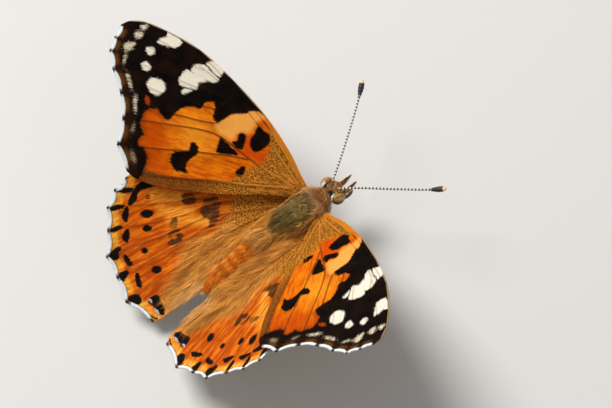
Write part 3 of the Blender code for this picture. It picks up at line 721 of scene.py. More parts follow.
tongue_finish = Finish("tongue")
tongue_rings = (tongue_finish.field("run") / 0.09).fraction()
tongue_material = tongue_finish.surface((0.16, 0.075, 0.03), 0.4, tongue_rings, 0.012)
turns = np.linspace(0, TONGUE_TURNS, 320)
radius = COIL_RADIUS - COIL_STEP * turns
coil = np.stack([0 * turns, TONGUE_CENTRE[0] + radius * np.cos(np.pi + 2 * np.pi * turns),
                 TONGUE_CENTRE[1] + radius * np.sin(np.pi + 2 * np.pi * turns)], 1)
path = np.vstack([line([(0, 5.75, -1.0), (0, 5.76, -1.8), coil[0]], 40)[:-1], coil])
along = unit(np.gradient(path, axis=0))
across = np.tile([1.0, 0, 0], (len(path), 1))
run = travelled(path)
radius = 0.17 - 0.07 * run / run[-1]
points = tube((path, along, across, np.cross(across, along)), radius, radius, TONGUE_SIDES)
faces, corners = tube_faces(len(path), TONGUE_SIDES)
piece("tongue", points, faces, corners, {"run": spread(run, TONGUE_SIDES)},
      tongue_material, ("proboscis",))


# The legs: four to stand on, each a thick femur, a straight tibia and a five-jointed foot that
# lies on the ground, clad in fawn scales; the front pair is a short brush folded to the breast.
LEGS = {
    "mid": {"hip": (1.5, 0.45, -1.5), "knee": (4.4, 2.3, 5.9), "ankle": (5.7, 3.0, 1.3), "toe": (7.7, 4.1)},
    "hind": {"hip": (1.2, -1.55, -1.5), "knee": (3.3, -5.0, 5.3), "ankle": (5.0, -9.0, 1.4),
             "toe": (6.4, -12.2)},
}
LEFT_STEP = {"mid": -0.5, "hind": 0.7}
RIDE_HEIGHT = ORIGIN[2] / MM
LEG_ROWS = 150
LEG_SIDES = 20
SCALES_PER_ROW = 4
BRUSH_ROWS = 60


def grounded(point):
    """A place given above the ground, level with the ground, brought into the body frame."""
    return (np.array(point) - (0, 0, RIDE_HEIGHT)) @ TURN


def leg_colour(finish):
    """Fawn scales with brown freckles, darker on the femur."""
    spot = finish.noise(finish.field("lie", 1), 4.0, 3.0)
    fawn = finish.mix(spot.rise(0.35, 0.65), (0.30, 0.18, 0.09), (0.64, 0.48, 0.3))
    return finish.mix(finish.field("run").rise(0.36, 0.26) * 0.6, fawn, (0.2, 0.11, 0.05))


leg_finish = Finish("leg skin")
leg_grain = leg_finish.noise(leg_finish.field("lie", 1), 14.0)
leg_material = leg_finish.surface(leg_colour(leg_finish), 0.6, leg_grain, 0.03)
leg_hair_material = hair_material("leg scales", leg_colour)


def limb(name, path, radius, nodes):
    """A scaled limb: a tube along the path and short scales that lie towards its end."""
    rail = rails(path, (0.02, 0, 1.0))
    points = tube(rail, radius, radius, LEG_SIDES)
    faces, corners = tube_faces(len(path), LEG_SIDES)
    fields = {"run": spread(np.linspace(0, 1, len(path)), LEG_SIDES), "lie": points}
    piece(name, points, faces, corners, fields, leg_material, nodes)
    count = len(path) * SCALES_PER_ROW
    t = rng.random(count) * 0.97
    a = rng.uniform(0, 2 * np.pi, count)
    middle, along, normal, thick, patch = on_tube(rail, radius, t, a)
    hairs = tufts(middle + normal * thick * 0.95, unit(along), normal,
                  rng.uniform(0.2, 0.38, count) * (0.4 + 2 * thick[:, 0]),
                  rng.uniform(0.05, 0.08, count), 0.4, 0.2, patch)
    fields = {"run": t, "lie": middle, "shade": rng.random(count)}
    hair_piece(name + "_scales", hairs, fields, leg_hair_material)


def leg_line(knots):
    """Straight bones between the knots with softly rounded bends, and where along it the
    knots lie."""
    lengths = [np.linalg.norm(b - a) for a, b in zip(knots, knots[1:])]
    place = np.r_[0, np.cumsum(lengths)] / sum(lengths)
    t = np.linspace(0, 1, LEG_ROWS)
    path = np.stack([np.interp(t, place, [k[c] for k in knots]) for c in range(3)], 1)
    soft = np.hanning(9) / np.hanning(9).sum()
    padded = np.pad(path, ((4, 4), (0, 0)), mode="edge")
    return np.stack([np.convolve(padded[:, c], soft, "valid") for c in range(3)], 1), place


def leg_radius(place):
    """Radius along a leg: thick femur, slimmer tibia, and a foot of five pinched joints."""
    hip, knee, ankle = place[:3]
    t = np.linspace(0, 1, LEG_ROWS)
    radius = np.interp(t, [hip, 0.05, knee - 0.03, knee, knee + 0.05, ankle - 0.02, ankle, 1],
                       [0.42, 0.4, 0.32, 0.22, 0.25, 0.22, 0.17, 0.13])
    foot = np.clip((t - ankle) / (1 - ankle), 0, 1)
    return radius * (1 - 0.16 * np.exp(-(((foot * 5) % 1 - 0.5) / 0.12) ** 2) * (foot > 0.02))


for side, sign in SIDES.items():
    mirror = np.array([sign, 1, 1])
    for pair, sizes in LEGS.items():
        step = LEFT_STEP[pair] if side == "L" else 0.0
        hip, knee, ankle = (np.array(sizes[joint]) * mirror for joint in ("hip", "knee", "ankle"))
        toe = np.array([sizes["toe"][0] * sign, sizes["toe"][1] + step, 0.16])
        ball = (0.5 * ankle + 0.5 * toe + (0, step * 0.4, 0)) * (1, 1, 0.5)
        knee = knee + (0, step * 0.4, 0)
        shin_end = ankle + (0, step * 0.8, 0)
        path, place = leg_line([hip] + [grounded(point) for point in (knee, shin_end, ball, toe)])
        limb(f"leg_{pair}_{side}", path, leg_radius(place),
             [f"leg_{pair}_{side}_{bone}" for bone in ("femur", "tibia", "tarsus")])
    path = line(np.array([(0.8, 1.7, -1.6), (0.86, 3.1, -2.3), (0.8, 4.1, -1.95)]) * mirror, BRUSH_ROWS)
    limb("leg_brush_" + side, path, 0.2 - 0.1 * np.linspace(0, 1, BRUSH_ROWS), ["leg_fore_" + side])


# The wings: a thin stiff membrane stretched between raised veins, fanned out from the root and
# clad on both faces in rows of powdery scales that carry all the colour. u runs outwards from
# the root and v forwards, in millimetres, in the plane of each wing.
FORE = {
    "hinge": (3.19, 2.58, 1.05), "camber": (-0.048, -0.075, -0.105), "sink": (0.0, 1.0), "tuck": 0.0,
    "angles": {"R": (31.8, 2.2, 1.6), "L": (32.2, 1.8, -1.6)},
    "front": [(-1.5, 0.45), (0.8, 0.75), (4.0, 1.35), (9.4, 1.6), (15.6, 1.0), (21.2, -0.1), (25.4, -1.9),
              (28.3, -3.6), (29.6, -5.1)],
    "tips": [(29.95, -6.4), (29.2, -8.0), (28.2, -9.6), (26.0, -10.7), (23.0, -11.7), (20.2, -13.4),
             (17.9, -16.0), (14.4, -17.0)],
    "rear": [(12.9, -16.6), (10.3, -14.9), (7.6, -12.2), (4.3, -8.4), (1.7, -4.9), (-0.3, -2.6),
             (-1.5, -1.3)],
    "scallop": 0.28, "grid": (300, 145),
    "veins": [
        [(0.0, 0.15), (4.0, 0.75), (9.0, 0.95), (13.6, 0.75), (16.5, 0.7)],
        [(0.0, -0.25), (4.5, -0.05), (8.8, 0.1), (13.0, -0.15), (18.6, -1.1), (24.3, -3.1), (29.3, -5.8)],
        [(14.4, -0.35), (17.4, 0.05), (20.3, -0.35), (21.6, -0.4)],
        [(18.9, -1.3), (24.5, -4.7), (29.2, -8.0)],
        [(14.2, -1.0), (15.4, -2.0), (21.5, -5.6), (28.2, -9.6)],
        [(13.9, -1.2), (13.8, -2.6), (14.6, -3.6), (19.8, -7.4), (26.0, -10.7)],
        [(13.6, -3.0), (12.6, -4.2), (17.6, -8.4), (23.0, -11.7)],
        [(0.0, -0.9), (5.5, -3.1), (10.5, -4.6), (12.8, -6.0), (16.4, -9.5), (20.2, -13.4)],
        [(6.4, -3.6), (8.4, -5.5), (12.0, -9.4), (15.2, -13.1), (17.9, -16.0)],
        [(0.0, -1.2), (3.2, -4.9), (6.6, -8.6), (10.4, -12.9), (14.4, -17.0)],
    ],
}
RIB_HALF_WIDTH = 0.13
RIB_HEIGHT = 0.09
RIB_DEPTH = 0.06
HOLLOW_DEPTH = 0.13
RIM_HALF_THICKNESS = 0.035
FRINGE_BLADES = 1500
FRINGE_STEPS = 900
FORE_HAIRS = 900


def outer_margin(sizes, count):
    """Outer margin through the vein tips, drawn in between each two as half a sine wave."""
    knots = np.array(sizes["tips"], float)
    gaps = np.linalg.norm(np.diff(knots, axis=0), axis=1)
    place = np.r_[0, np.cumsum(gaps)] / gaps.sum()
    t = np.linspace(0, 1, count)
    margin = np.stack([np.interp(t, place, knots[:, k]) for k in (0, 1)], 1)
    k = np.clip(np.searchsorted(place, t, "right") - 1, 0, len(gaps) - 1)
    run = unit(np.diff(knots, axis=0))[k]
    inward = np.stack([run[:, 1], -run[:, 0]], 1)
    between = np.sin(np.pi * np.clip((t - place[k]) / (place[k + 1] - place[k]), 0, 1))
    return margin + inward * (sizes["scallop"] * between)[:, None], between


def wing_plan(sizes):
    """Coons patch over the wing: rows go from the root (0) to the outer margin (1), columns
    from the front margin (0) to the rear (1). Each point is the sum of the two ruled
    surfaces between opposite edges less the one between the four corners."""
    rows, columns = sizes["grid"]
    front = line(sizes["front"] + sizes["tips"][:1], rows)[:, None]
    rear = line((sizes["tips"][-1:] + sizes["rear"])[::-1], rows)[:, None]
    outer, _ = outer_margin(sizes, columns)
    a = np.linspace(0, 1, rows)[:, None, None]
    b = np.linspace(0, 1, columns)[None, :, None]
    root = front[:1] * (1 - b) + rear[:1] * b
    return ((1 - b) * front + b * rear + (1 - a) * root + a * outer[None]
            - (1 - a) * root - a * ((1 - b) * front[-1:] + b * rear[-1:]))


def wing_at(uv, sizes, side, height=0.0):
    """Body-frame points of a wing at (u, v): a cambered sheet, a second-degree surface whose
    root may sink and whose inner edge may be tucked up against the abdomen, turned by sweep,
    twist and dihedral about the hinge and mirrored."""
    u, v = uv[..., 0], uv[..., 1]
    a, b, c = sizes["camber"]
    depth, reach = sizes["sink"]
    fade = np.clip((v + 19) / 9, 0, 1)
    sink = depth * np.exp(-np.maximum(u, 0) / reach) * fade * fade * (3 - 2 * fade)
    tuck = sizes["tuck"] * eased(u, 1.4, -0.8) * eased(v, -15.5, -12.5)
    flat = np.stack([u, v, (a * u * u + b * u * v + c * v * v) / 20 - sink + tuck + height], -1)
    d, t, s = (math.radians(x) for x in sizes["angles"][side])
    about_y = np.array([[math.cos(d), 0, -math.sin(d)], [0, 1, 0], [math.sin(d), 0, math.cos(d)]])
    about_x = np.array([[1, 0, 0], [0, math.cos(t), -math.sin(t)], [0, math.sin(t), math.cos(t)]])
    about_z = np.array([[math.cos(s), -math.sin(s), 0], [math.sin(s), math.cos(s), 0], [0, 0, 1]])
    return (flat @ (about_y @ about_x @ about_z).T + sizes["hinge"]) * (SIDES[side], 1, 1)


def wing_normal(uv, sizes, side):
    """Upward normal of a wing's sheet by small differences."""
    here = wing_at(uv, sizes, side)
    du = wing_at(uv + (0.05, 0), sizes, side) - here
    dv = wing_at(uv + (0, 0.05), sizes, side) - here
    return unit(np.cross(du, dv)) * SIDES[side]


def to_line(points, path):
    """Distance from every point of the plane to the nearest stretch of a path."""
    best = np.full(len(points), 1e9)
    for a, b in zip(path, path[1:]):
        run = b - a
        t = np.clip((points - a) @ run / max(run @ run, 1e-12), 0, 1)
        best = np.minimum(best, np.linalg.norm(points - a - t[:, None] * run, axis=1))
    return best


def patch_distance(points, knots):
    """Signed distance to a rounded patch through the knots, negative inside it: the distance
    to its edge, with the sign from counting how often a level line crosses the edge."""
    p = np.array(knots, float)
    loop = through(np.roll(p, 1, 0), p, np.roll(p, -1, 0), np.roll(p, -2, 0), 5)
    loop = np.vstack([loop, loop[:1]])
    crossings = np.zeros(len(points), int)
    for (ax, ay), (bx, by) in zip(loop, loop[1:]):
        spans = (ay > points[:, 1]) != (by > points[:, 1])
        x = ax + (bx - ax) * (points[:, 1] - ay) / (by - ay if by != ay else 1e-9)
        crossings += spans & (points[:, 0] < x)
    return to_line(points, loop) * np.where(crossings % 2, -1, 1)


def spot_distance(points, centre, half_long, half_wide, direction=(1, 0)):
    """About the signed distance to an oval spot, negative inside; direction is its long axis."""
    c, s = np.array(direction, float) / np.hypot(*direction)
    x, y = (points - centre).T
    reach = np.hypot((x * c + y * s) / half_long, (y * c - x * s) / half_wide)
    return (reach - 1) * min(half_long, half_wide)


def glow(points, centre, reach):
    """1 at a place, fading as a bell curve to about a third a reach away."""
    return np.exp(-np.sum(((points - centre) / reach) ** 2, axis=1))


def wing_solid(name, sizes, side, fields, material, node):
    """The wing as a closed shell: its plan laid out twice, one face up and one down, half a
    membrane's thickness from the sheet, with raised veins and hollows between them."""
    rows, columns = sizes["grid"]
    flat = wing_plan(sizes)
    vein = fields["vein"].reshape(rows, columns)
    edge = fields["edge"].reshape(rows, columns)
    rib = np.exp(-(vein / RIB_HALF_WIDTH) ** 2) * (0.25 + 0.75 * eased(edge, 0.2, 6.0))
    hollow = HOLLOW_DEPTH * (1 - np.exp(-(vein / 1.0) ** 2)) * eased(edge, 0.0, 1.2)
    thin = RIM_HALF_THICKNESS + 0.03 * eased(edge, 0.0, 2.0)
    top = wing_at(flat, sizes, side, thin + RIB_HEIGHT * rib - hollow)
    low = wing_at(flat, sizes, side, -thin - RIB_DEPTH * rib - hollow)
    points = np.concatenate([top, low[:, ::-1]], 1).reshape(-1, 3)
    around = 2 * columns
    quads, square = grid_faces(rows, around)
    c = np.arange(columns - 1)
    d = around - 1 - c
    root = np.stack([c, d, d - 1, c + 1], 1)
    tip = np.stack([c, c + 1, d - 1, d], 1) + (rows - 1) * around
    cap = np.stack([0 * c, c, 0 * c + 1, c, 0 * c + 1, c + 1, 0 * c, c + 1], 1).reshape(-1, 2)
    corners = np.concatenate([square, cap, cap + (rows, 0)])
    under = np.r_[np.zeros(columns), np.ones(columns)]
    both = {}
    for key, values in fields.items():
        face = values.reshape(rows, columns, -1)
        both[key] = np.concatenate([face, face[:, ::-1]], 1).reshape(rows * around, -1).squeeze()
    piece(name, points, [quads, np.concatenate([root, tip])], corners / (rows + 1, around),
          {**both, "under": np.tile(under, rows)}, material, (node,))


def wing_fields(flat, sizes, marks):
    """Fields that every point of a wing's plan carries: its place, the distances to the veins,
    to the outer margin and to the whole outline, how far between two vein tips it lies, and
    those of its marks."""
    veins = [line(v, 40) for v in sizes["veins"]]
    margin, between = outer_margin(sizes, 170)
    reach = np.array([to_line(flat, v) for v in veins])
    whole = np.vstack([line(sizes["front"] + sizes["tips"][:1], 60), margin,
                       line(sizes["tips"][-1:] + sizes["rear"], 60)])
    nearest = np.argmin(np.linalg.norm(flat[:, None] - margin[None, ::2], axis=2), axis=1)
    return {"lie": np.c_[flat, np.zeros(len(flat))], "vein": reach.min(axis=0),
            "edge": to_line(flat, margin), "rim": to_line(flat, whole),
            "lunule": between[::2][nearest], **marks(flat)}


def wing_grain(sizes):
    """Coordinates in millimetres that run out along the wing and across it, so that noise
    stretched along the first fans out like the rows of scales."""
    rows, columns = sizes["grid"]
    a, b = np.meshgrid(np.linspace(0, 30, rows), np.linspace(0, 16, columns), indexing="ij")
    return np.stack([a.ravel(), b.ravel(), 0 * a.ravel()], 1)


class Scales(Finish):
    """A wing's finish, with the noises that all its markings share."""

    def __init__(self, name):
        super().__init__(name)
        grain = self.field("grain", 1)
        self.streak = self.noise(self.stretched(grain, (0.9, 7.0, 1.0)), 1.0, 3.0) - 0.5
        self.speck = self.noise(self.stretched(grain, (7.0, 12.0, 1.0)), 1.0, 2.0) - 0.5
        self.fibre = self.noise(self.stretched(grain, (0.22, 2.0, 1.0)), 1.0, 3.0) - 0.5
        self.cloud = self.noise(self.field("lie", 1), 0.5, 3.0) - 0.5
        self.grit = self.noise(self.field("lie", 1), 5.0, 2.0) - 0.5
        self.rough = self.speck * 0.5 + self.streak * 0.4
        self.vein = self.field("vein")
        self.edge = self.field("edge")
        self.under = self.field("under")

    def gold(self):
        """Golden-brown ground peppered with dark and with pale scales, next to the body."""
        pepper = self.grit * 4.0 + self.speck * 1.5 + self.streak + 0.5
        gold = self.mix(pepper.rise(0.1, 0.6), (0.08, 0.022, 0.003), (0.54, 0.19, 0.014))
        return self.mix(pepper.rise(0.8, 1.5) * 0.6, gold, (0.80, 0.44, 0.09))

    def within(self, name, softness, ragged=1.0):
        """1 inside the patches of a signed distance field, with a ragged edge of scales."""
        return (self.field(name) + self.rough * ragged).rise(softness, -softness)

    def fringe(self, colour):
        """White fringe between the vein tips and black at each of them."""
        white = (self.field("lunule") + self.speck * 0.8).rise(0.3, 0.55)
        scales = self.mix(white, (0.03, 0.014, 0.006), (0.76, 0.80, 0.80))
        return self.mix((self.edge + self.speck * 0.1).rise(0.30, 0.22), colour, scales)

    def sheet(self, upper, lower, roughness, depth_mm, specular):
        """The whole wing: a colour for either face, both with the fringe, on rows of scales."""
        rows = self.noise(self.stretched(self.field("grain", 1), (9.0, 22.0, 1.0)), 1.0, 2.0)
        colour = self.mix(self.under, self.fringe(upper), self.fringe(lower))
        return self.surface(colour, roughness, rows, depth_mm, Specular_IOR_Level=specular)


def wing_coat(name, uv, heading, length, width, lift, droop, sizes, side, fields, material):
    """Hairs or long scales on a wing's upper face, rooted at uv and laid along heading."""
    normal = wing_normal(uv, sizes, side)
    root = wing_at(uv, sizes, side, 0.03)
    along = unit(wing_at(uv + unit(heading) * 0.1, sizes, side, 0.03) - root)
    flat = wing_plan(sizes).reshape(-1, 2)
    low, high = flat.min(axis=0), flat.max(axis=0)
    patch = inset(*np.clip((uv - low) / (high - low), 0, 1).T)
    hairs = tufts(root, along, normal, length, width, lift, droop, patch)
    hair_piece(name, hairs, {"lie": np.c_[uv, 0 * uv[:, 0]], **fields}, material)


def fringe_blades(name, sizes, side):
    """Fringe of the outer margin: tapered scales set close along it, that start on the upper
    face a little inside the edge and reach past it."""
    margin, between = outer_margin(sizes, FRINGE_STEPS)
    run = unit(np.gradient(margin, axis=0))
    outward = np.stack([-run[:, 1], run[:, 0]], 1)
    pick = rng.integers(3, FRINGE_STEPS - 3, FRINGE_BLADES)
    uv = margin[pick] - outward[pick] * rng.uniform(0.22, 0.34, FRINGE_BLADES)[:, None]
    uv = uv + run[pick] * rng.normal(0, 0.01, FRINGE_BLADES)[:, None]
    heading = outward[pick] + run[pick] * rng.normal(0, 0.1, FRINGE_BLADES)[:, None]
    fields = {"lunule": between[pick], "shade": rng.random(FRINGE_BLADES)}
    length = rng.uniform(0.34, 0.5, FRINGE_BLADES) * (0.35 + 0.65 * eased(between[pick], 0, 0.5))
    wing_coat(name, uv, heading, length, rng.uniform(0.05, 0.09, FRINGE_BLADES),
              rng.uniform(0.0, 0.06, FRINGE_BLADES), 0.1, sizes, side, fields, fringe_material)


def fore_marks(flat):
    """Signed distances to the forewing's black, white, pale, cream and red patches, how deep
    orange, brown or bright each place is and how near the body, and its distance past the
    front edge."""
    black = [patch_distance(flat, knots) for knots in (
        [(9.3, 1.9), (10.6, 1.0), (11.2, 0.2), (11.2, -0.3), (11.7, -1.0), (12.2, -1.8), (12.3, -3.1),
         (12.5, -4.0), (13.4, -4.0), (14.1, -3.1), (14.9, -2.8), (15.4, -3.6), (15.2, -4.7), (16.0, -5.3),
         (16.6, -6.5), (16.6, -7.6), (16.4, -8.8), (17.7, -9.1), (18.5, -9.1), (19.1, -10.2), (18.8, -11.2),
         (17.9, -12.1), (16.9, -12.4), (16.8, -13.3), (16.1, -13.8), (15.4, -13.5), (14.2, -13.8),
         (13.5, -14.7), (12.9, -15.6), (12.6, -17.0), (13.5, -18.5), (17.0, -18.5), (21.0, -15.5),
         (26.0, -12.5), (30.5, -10.5), (32.0, -6.0), (30.0, -3.0), (25.5, -0.6), (21.0, 1.4), (15.6, 2.6),
         (10.5, 2.8)],
        [(9.0, 0.0), (8.0, 0.3), (7.2, 0.6), (6.3, -0.3), (6.3, -1.8), (6.8, -2.4), (7.7, -2.3),
         (8.3, -1.7), (8.5, -1.0)],
        [(9.3, -3.9), (9.2, -3.2), (9.7, -2.5), (9.0, -1.9), (8.2, -2.7), (7.8, -3.4), (8.5, -4.0)],
        [(10.7, -4.7), (9.0, -4.4), (7.5, -4.2), (8.4, -5.3), (9.4, -6.3), (10.1, -5.6)],
        [(12.2, -11.7), (12.8, -10.7), (12.3, -9.9), (11.8, -9.0), (12.3, -8.3), (12.2, -7.8), (11.5, -7.7),
         (10.8, -8.3), (10.7, -9.8), (10.2, -10.6), (9.4, -10.8), (10.0, -11.3), (10.7, -11.9)],
        [(6.0, -5.8), (6.1, -5.1), (5.9, -4.4), (5.2, -4.9), (5.1, -5.7), (5.5, -6.0)])]
    white = [patch_distance(flat, knots) for knots in (
        [(25.4, -3.9), (25.4, -3.1), (25.2, -2.7), (25.5, -2.2), (24.9, -1.9), (24.2, -1.5), (23.4, -1.5),
         (23.3, -2.1), (23.6, -2.8), (24.3, -3.4), (24.9, -3.8)],
        [(25.4, -5.7), (25.5, -5.2), (24.9, -4.8), (24.4, -5.2), (24.6, -5.8)],
        [(24.3, -7.3), (24.1, -6.6), (23.3, -6.5), (23.1, -7.1), (23.6, -7.5)],
        [(21.8, -8.2), (22.1, -7.4), (21.3, -6.5), (20.3, -6.5), (19.8, -7.0), (19.8, -8.0), (20.7, -8.5)],
        [(19.8, -4.7), (20.2, -3.8), (20.3, -3.1), (19.7, -2.7), (17.6, -1.8), (18.0, -2.8), (17.5, -3.5),
         (18.4, -4.4), (19.1, -4.9)],
        [(18.1, -5.3), (18.5, -5.1), (18.3, -4.5), (17.7, -4.1), (17.8, -4.6)],
        [(20.1, -2.3), (20.0, -1.5), (19.4, -0.9), (18.0, -0.7), (16.8, -0.5), (16.7, -0.8), (17.0, -1.3),
         (17.7, -1.9), (18.3, -2.5), (19.3, -2.8)],
        [(19.3, -0.6), (19.3, 0.1), (18.7, 0.5), (17.6, 0.9), (17.0, -0.1), (18.0, -0.5)])]
    pale = [patch_distance(flat, knots) for knots in (
        [(28.3, -4.5), (28.2, -4.0), (27.9, -3.6), (27.7, -4.0), (27.7, -4.5)],
        [(27.9, -5.7), (28.0, -5.2), (27.4, -4.8), (27.1, -5.3), (27.4, -5.8)],
        [(27.6, -7.7), (27.5, -7.1), (27.0, -6.3), (26.7, -6.7), (26.7, -7.5), (27.1, -7.9)])]
    pale += [spot_distance(flat, at, size, size * 0.4, way) for at, size, way in (
        ((26.1, -8.6), 0.4, (-0.6, -0.8)), ((23.9, -9.7), 0.42, (-1, -0.35)),
        ((23.0, -10.05), 0.36, (-1, -0.35)), ((21.0, -10.7), 0.45, (-0.8, -0.6)),
        ((20.2, -11.3), 0.4, (-0.8, -0.6)), ((18.3, -13.1), 0.5, (-0.6, -0.8)),
        ((15.4, -15.2), 0.7, (-1, -0.4)))]
    cream = patch_distance(flat, [(12.6, -4.3), (12.6, -3.0), (12.2, -1.6), (11.6, 0.0), (10.6, 1.2),
                                  (9.3, 1.3), (9.4, 0.2), (8.9, -1.4), (9.7, -2.5), (9.5, -3.8),
                                  (10.3, -4.2), (11.4, -4.6)])
    rear = to_line(flat, line(FORE["tips"][-1:] + FORE["rear"], 60))
    base = patch_distance(flat, [(6.6, 3.0), (7.2, 1.6), (7.4, 0.8), (6.3, 0.2), (5.2, -1.2), (4.6, -2.7),
                                 (5.2, -3.7), (5.0, -5.1), (5.3, -6.6), (4.0, -9.0), (0.0, -6.0),
                                 (-3.0, 0.0), (0.0, 3.0)])
    deep = patch_distance(flat, [(8.6, -1.8), (6.7, -2.5), (4.8, -2.4), (5.5, -0.6), (6.6, -3.4),
                                 (7.6, -3.6)])
    red = spot_distance(flat, (20.1, -9.45), 0.6, 0.3, (1, 0.35))
    return {"black": np.min(black, axis=0), "white": np.min(white, axis=0), "pale": np.min(pale, axis=0),
            "cream": cream, "deep": eased(deep, 1.2, -0.6), "red": red,
            "brown": np.maximum(eased(base, 1.0, -0.8), eased(rear, 2.0, 1.2)),
            "near": eased(flat[:, 0] - 0.35 * flat[:, 1], 12.0, 6.5),
            "bright": glow(flat, (13.0, -7.0), (2.6, 2.2)),
            "costa": flat[:, 1] - np.interp(flat[:, 0], *np.array(FORE["front"]).T)}


def fore_finish():
    """Forewing colours: orange above, black in the outer half with white patches; below, the
    same marks on rose and an olive tip."""
    f = Scales("forewing scales")
    brown = f.field("brown")
    near = f.field("near")
    costa = f.field("costa")
    light = (f.field("cream") + f.rough * 0.9).rise(0.35, -0.45)
    cream = f.mix(f.streak + 0.5, (0.80, 0.27, 0.02), (0.84, 0.42, 0.10))
    bark = f.mix((f.grit * 1.5 + f.streak + 0.5).rise(0.2, 0.8), (0.13, 0.032, 0.003), (0.30, 0.085, 0.008))
    flank = f.vein.rise(0.5, 0.25) * brown
    rib = f.mix(brown * near, (0.14, 0.035, 0.004), (0.62, 0.22, 0.02))
    ember = (costa + f.rough * 0.3).rise(-0.6, -0.4) * brown
    smoke = (f.field("black") + f.rough * 3.0).rise(0.7, 0.0) * f.edge.rise(7.0, 4.0)
    orange = f.layers(
        (0.48, 0.065, 0.0),
        ((f.streak + f.fibre * 1.6 + f.cloud * 0.9 + 0.5).rise(0.15, 0.85), (0.80, 0.19, 0.003)),
        (f.field("deep") * 0.9, (0.58, 0.045, 0.0)),
        ((f.edge + f.rough * 2.0).rise(7.5, 3.5) * 0.75, (0.46, 0.05, 0.0)),
        (light, cream),
        (f.field("bright") * (f.streak * 1.5 + 0.8), (0.84, 0.30, 0.015)),
        ((brown + f.rough * 0.8).rise(0.2, 0.8), f.mix(near, bark, f.gold())),
        (flank * (f.grit * 3.0 + 0.5).rise(0.9, 0.2) * 0.8, (0.04, 0.016, 0.006)),
        (f.vein.rise(0.17, 0.08) * (0.8 - 0.5 * light), rib),
        (ember * 0.85, (0.64, 0.19, 0.012)),
        (smoke * 0.6, (0.10, 0.02, 0.001)))
    band = f.edge.rise(0.25, 0.4) * f.edge.rise(1.1, 0.5)
    ink = f.layers(
        (0.002, 0.001, 0.0008),
        ((f.cloud + f.streak * 0.5 + 0.5).rise(0.3, 0.8), (0.010, 0.0035, 0.0012)),
        ((f.edge + f.cloud * 4.0 + f.rough * 3.0).rise(1.8, 0.0) * 0.4, (0.05, 0.015, 0.003)),
        (band * (f.field("lunule") + f.rough * 1.6).rise(0.5, 1.1) * 0.35, (0.36, 0.12, 0.012)),
        (f.within("red", 0.1) * 0.7, (0.40, 0.05, 0.003)))
    costal = f.mix(brown, (0.46, 0.30, 0.15), (0.62, 0.25, 0.03))
    dim = (f.field("lie", 1).part(1) + f.cloud).rise(-11.5, -12.5) * 0.75
    pale = f.layers(
        (0.52, 0.36, 0.18),
        ((f.grit * 2.0 + 0.5).rise(0.2, 0.8), (0.78, 0.71, 0.56)),
        (dim, (0.14, 0.075, 0.025)))
    white = f.layers(
        (0.62, 0.55, 0.42),
        ((f.grit * 2.0 + 0.5).rise(0.0, 0.6), (0.78, 0.72, 0.58)),
        (f.vein.rise(0.1, 0.05) * 0.6, (0.44, 0.20, 0.06)))
    upper = f.layers(
        orange,
        (f.within("black", 0.06, 1.5), ink),
        ((costa + f.rough * 0.1).rise(-0.12, -0.03) * 0.75, costal),
        ((f.field("pale") + f.rough * 2.2).rise(0.14, -0.14) * 0.92, pale),
        (f.within("white", 0.05, 1.7), white))
    rose = f.layers(
        (0.66, 0.15, 0.045),
        (f.streak + 0.5, (0.80, 0.28, 0.09)),
        (light, (0.85, 0.60, 0.32)),
        (f.vein.rise(0.15, 0.06) * 0.6, (0.8, 0.6, 0.4)),
        (brown * 0.5, (0.55, 0.38, 0.24)))
    olive = f.layers(
        (0.16, 0.095, 0.035),
        ((f.cloud + f.rough + 0.5).rise(0.35, 0.65), (0.38, 0.28, 0.14)),
        (f.vein.rise(0.18, 0.08), (0.72, 0.64, 0.5)))
    outer = (f.field("lie", 1).part(0) + f.cloud * 2.0).rise(20.0, 23.5)
    lower = f.layers(
        rose,
        (f.within("black", 0.12), f.mix(outer, (0.02, 0.012, 0.008), olive)),
        (f.within("pale", 0.2), (0.72, 0.68, 0.6)),
        (f.within("white", 0.1), (0.85, 0.8, 0.72)))
    return f.sheet(upper, lower, 0.75, 0.03, 0.04)


def fringe_finish(name):
    """Fringe scales: white between the vein tips and black at them."""
    f = Finish(name)
    white = (f.field("lunule") + f.field("shade") * 0.4 - 0.2).rise(0.25, 0.45)
    return f.surface(f.mix(white, (0.03, 0.014, 0.006), (0.78, 0.82, 0.82)), 0.7, Specular_IOR_Level=0.05)


def wing_hair_colour(finish):
    """Golden-brown to fawn hair of the wing bases in lighter and darker strands, and beige
    where the field pale passes 1."""
    spot = finish.noise(finish.field("lie", 1), 0.6, 2.0)
    strand = finish.noise(finish.stretched(finish.field("lie", 1), (2.4, 0.3, 1.0)), 1.0, 2.0)
    pale = finish.field("pale")
    return finish.layers(
        (0.50, 0.165, 0.012),
        (spot.rise(0.35, 0.65), (0.88, 0.36, 0.03)),
        (pale, (0.98, 0.50, 0.10)),
        (strand.rise(0.52, 0.36) * 0.6, (0.26, 0.085, 0.012)),
        (pale.rise(1.0, 1.8) * 0.6, (0.86, 0.60, 0.34)))


def scatter(flat, weight, count):
    """Random places of a wing's plan, thick where the weight is great."""
    chance = np.clip(weight, 0, None)
    pick = rng.choice(len(flat), count, p=chance / chance.sum())
    return flat[pick] + rng.uniform(-0.06, 0.06, (count, 2))


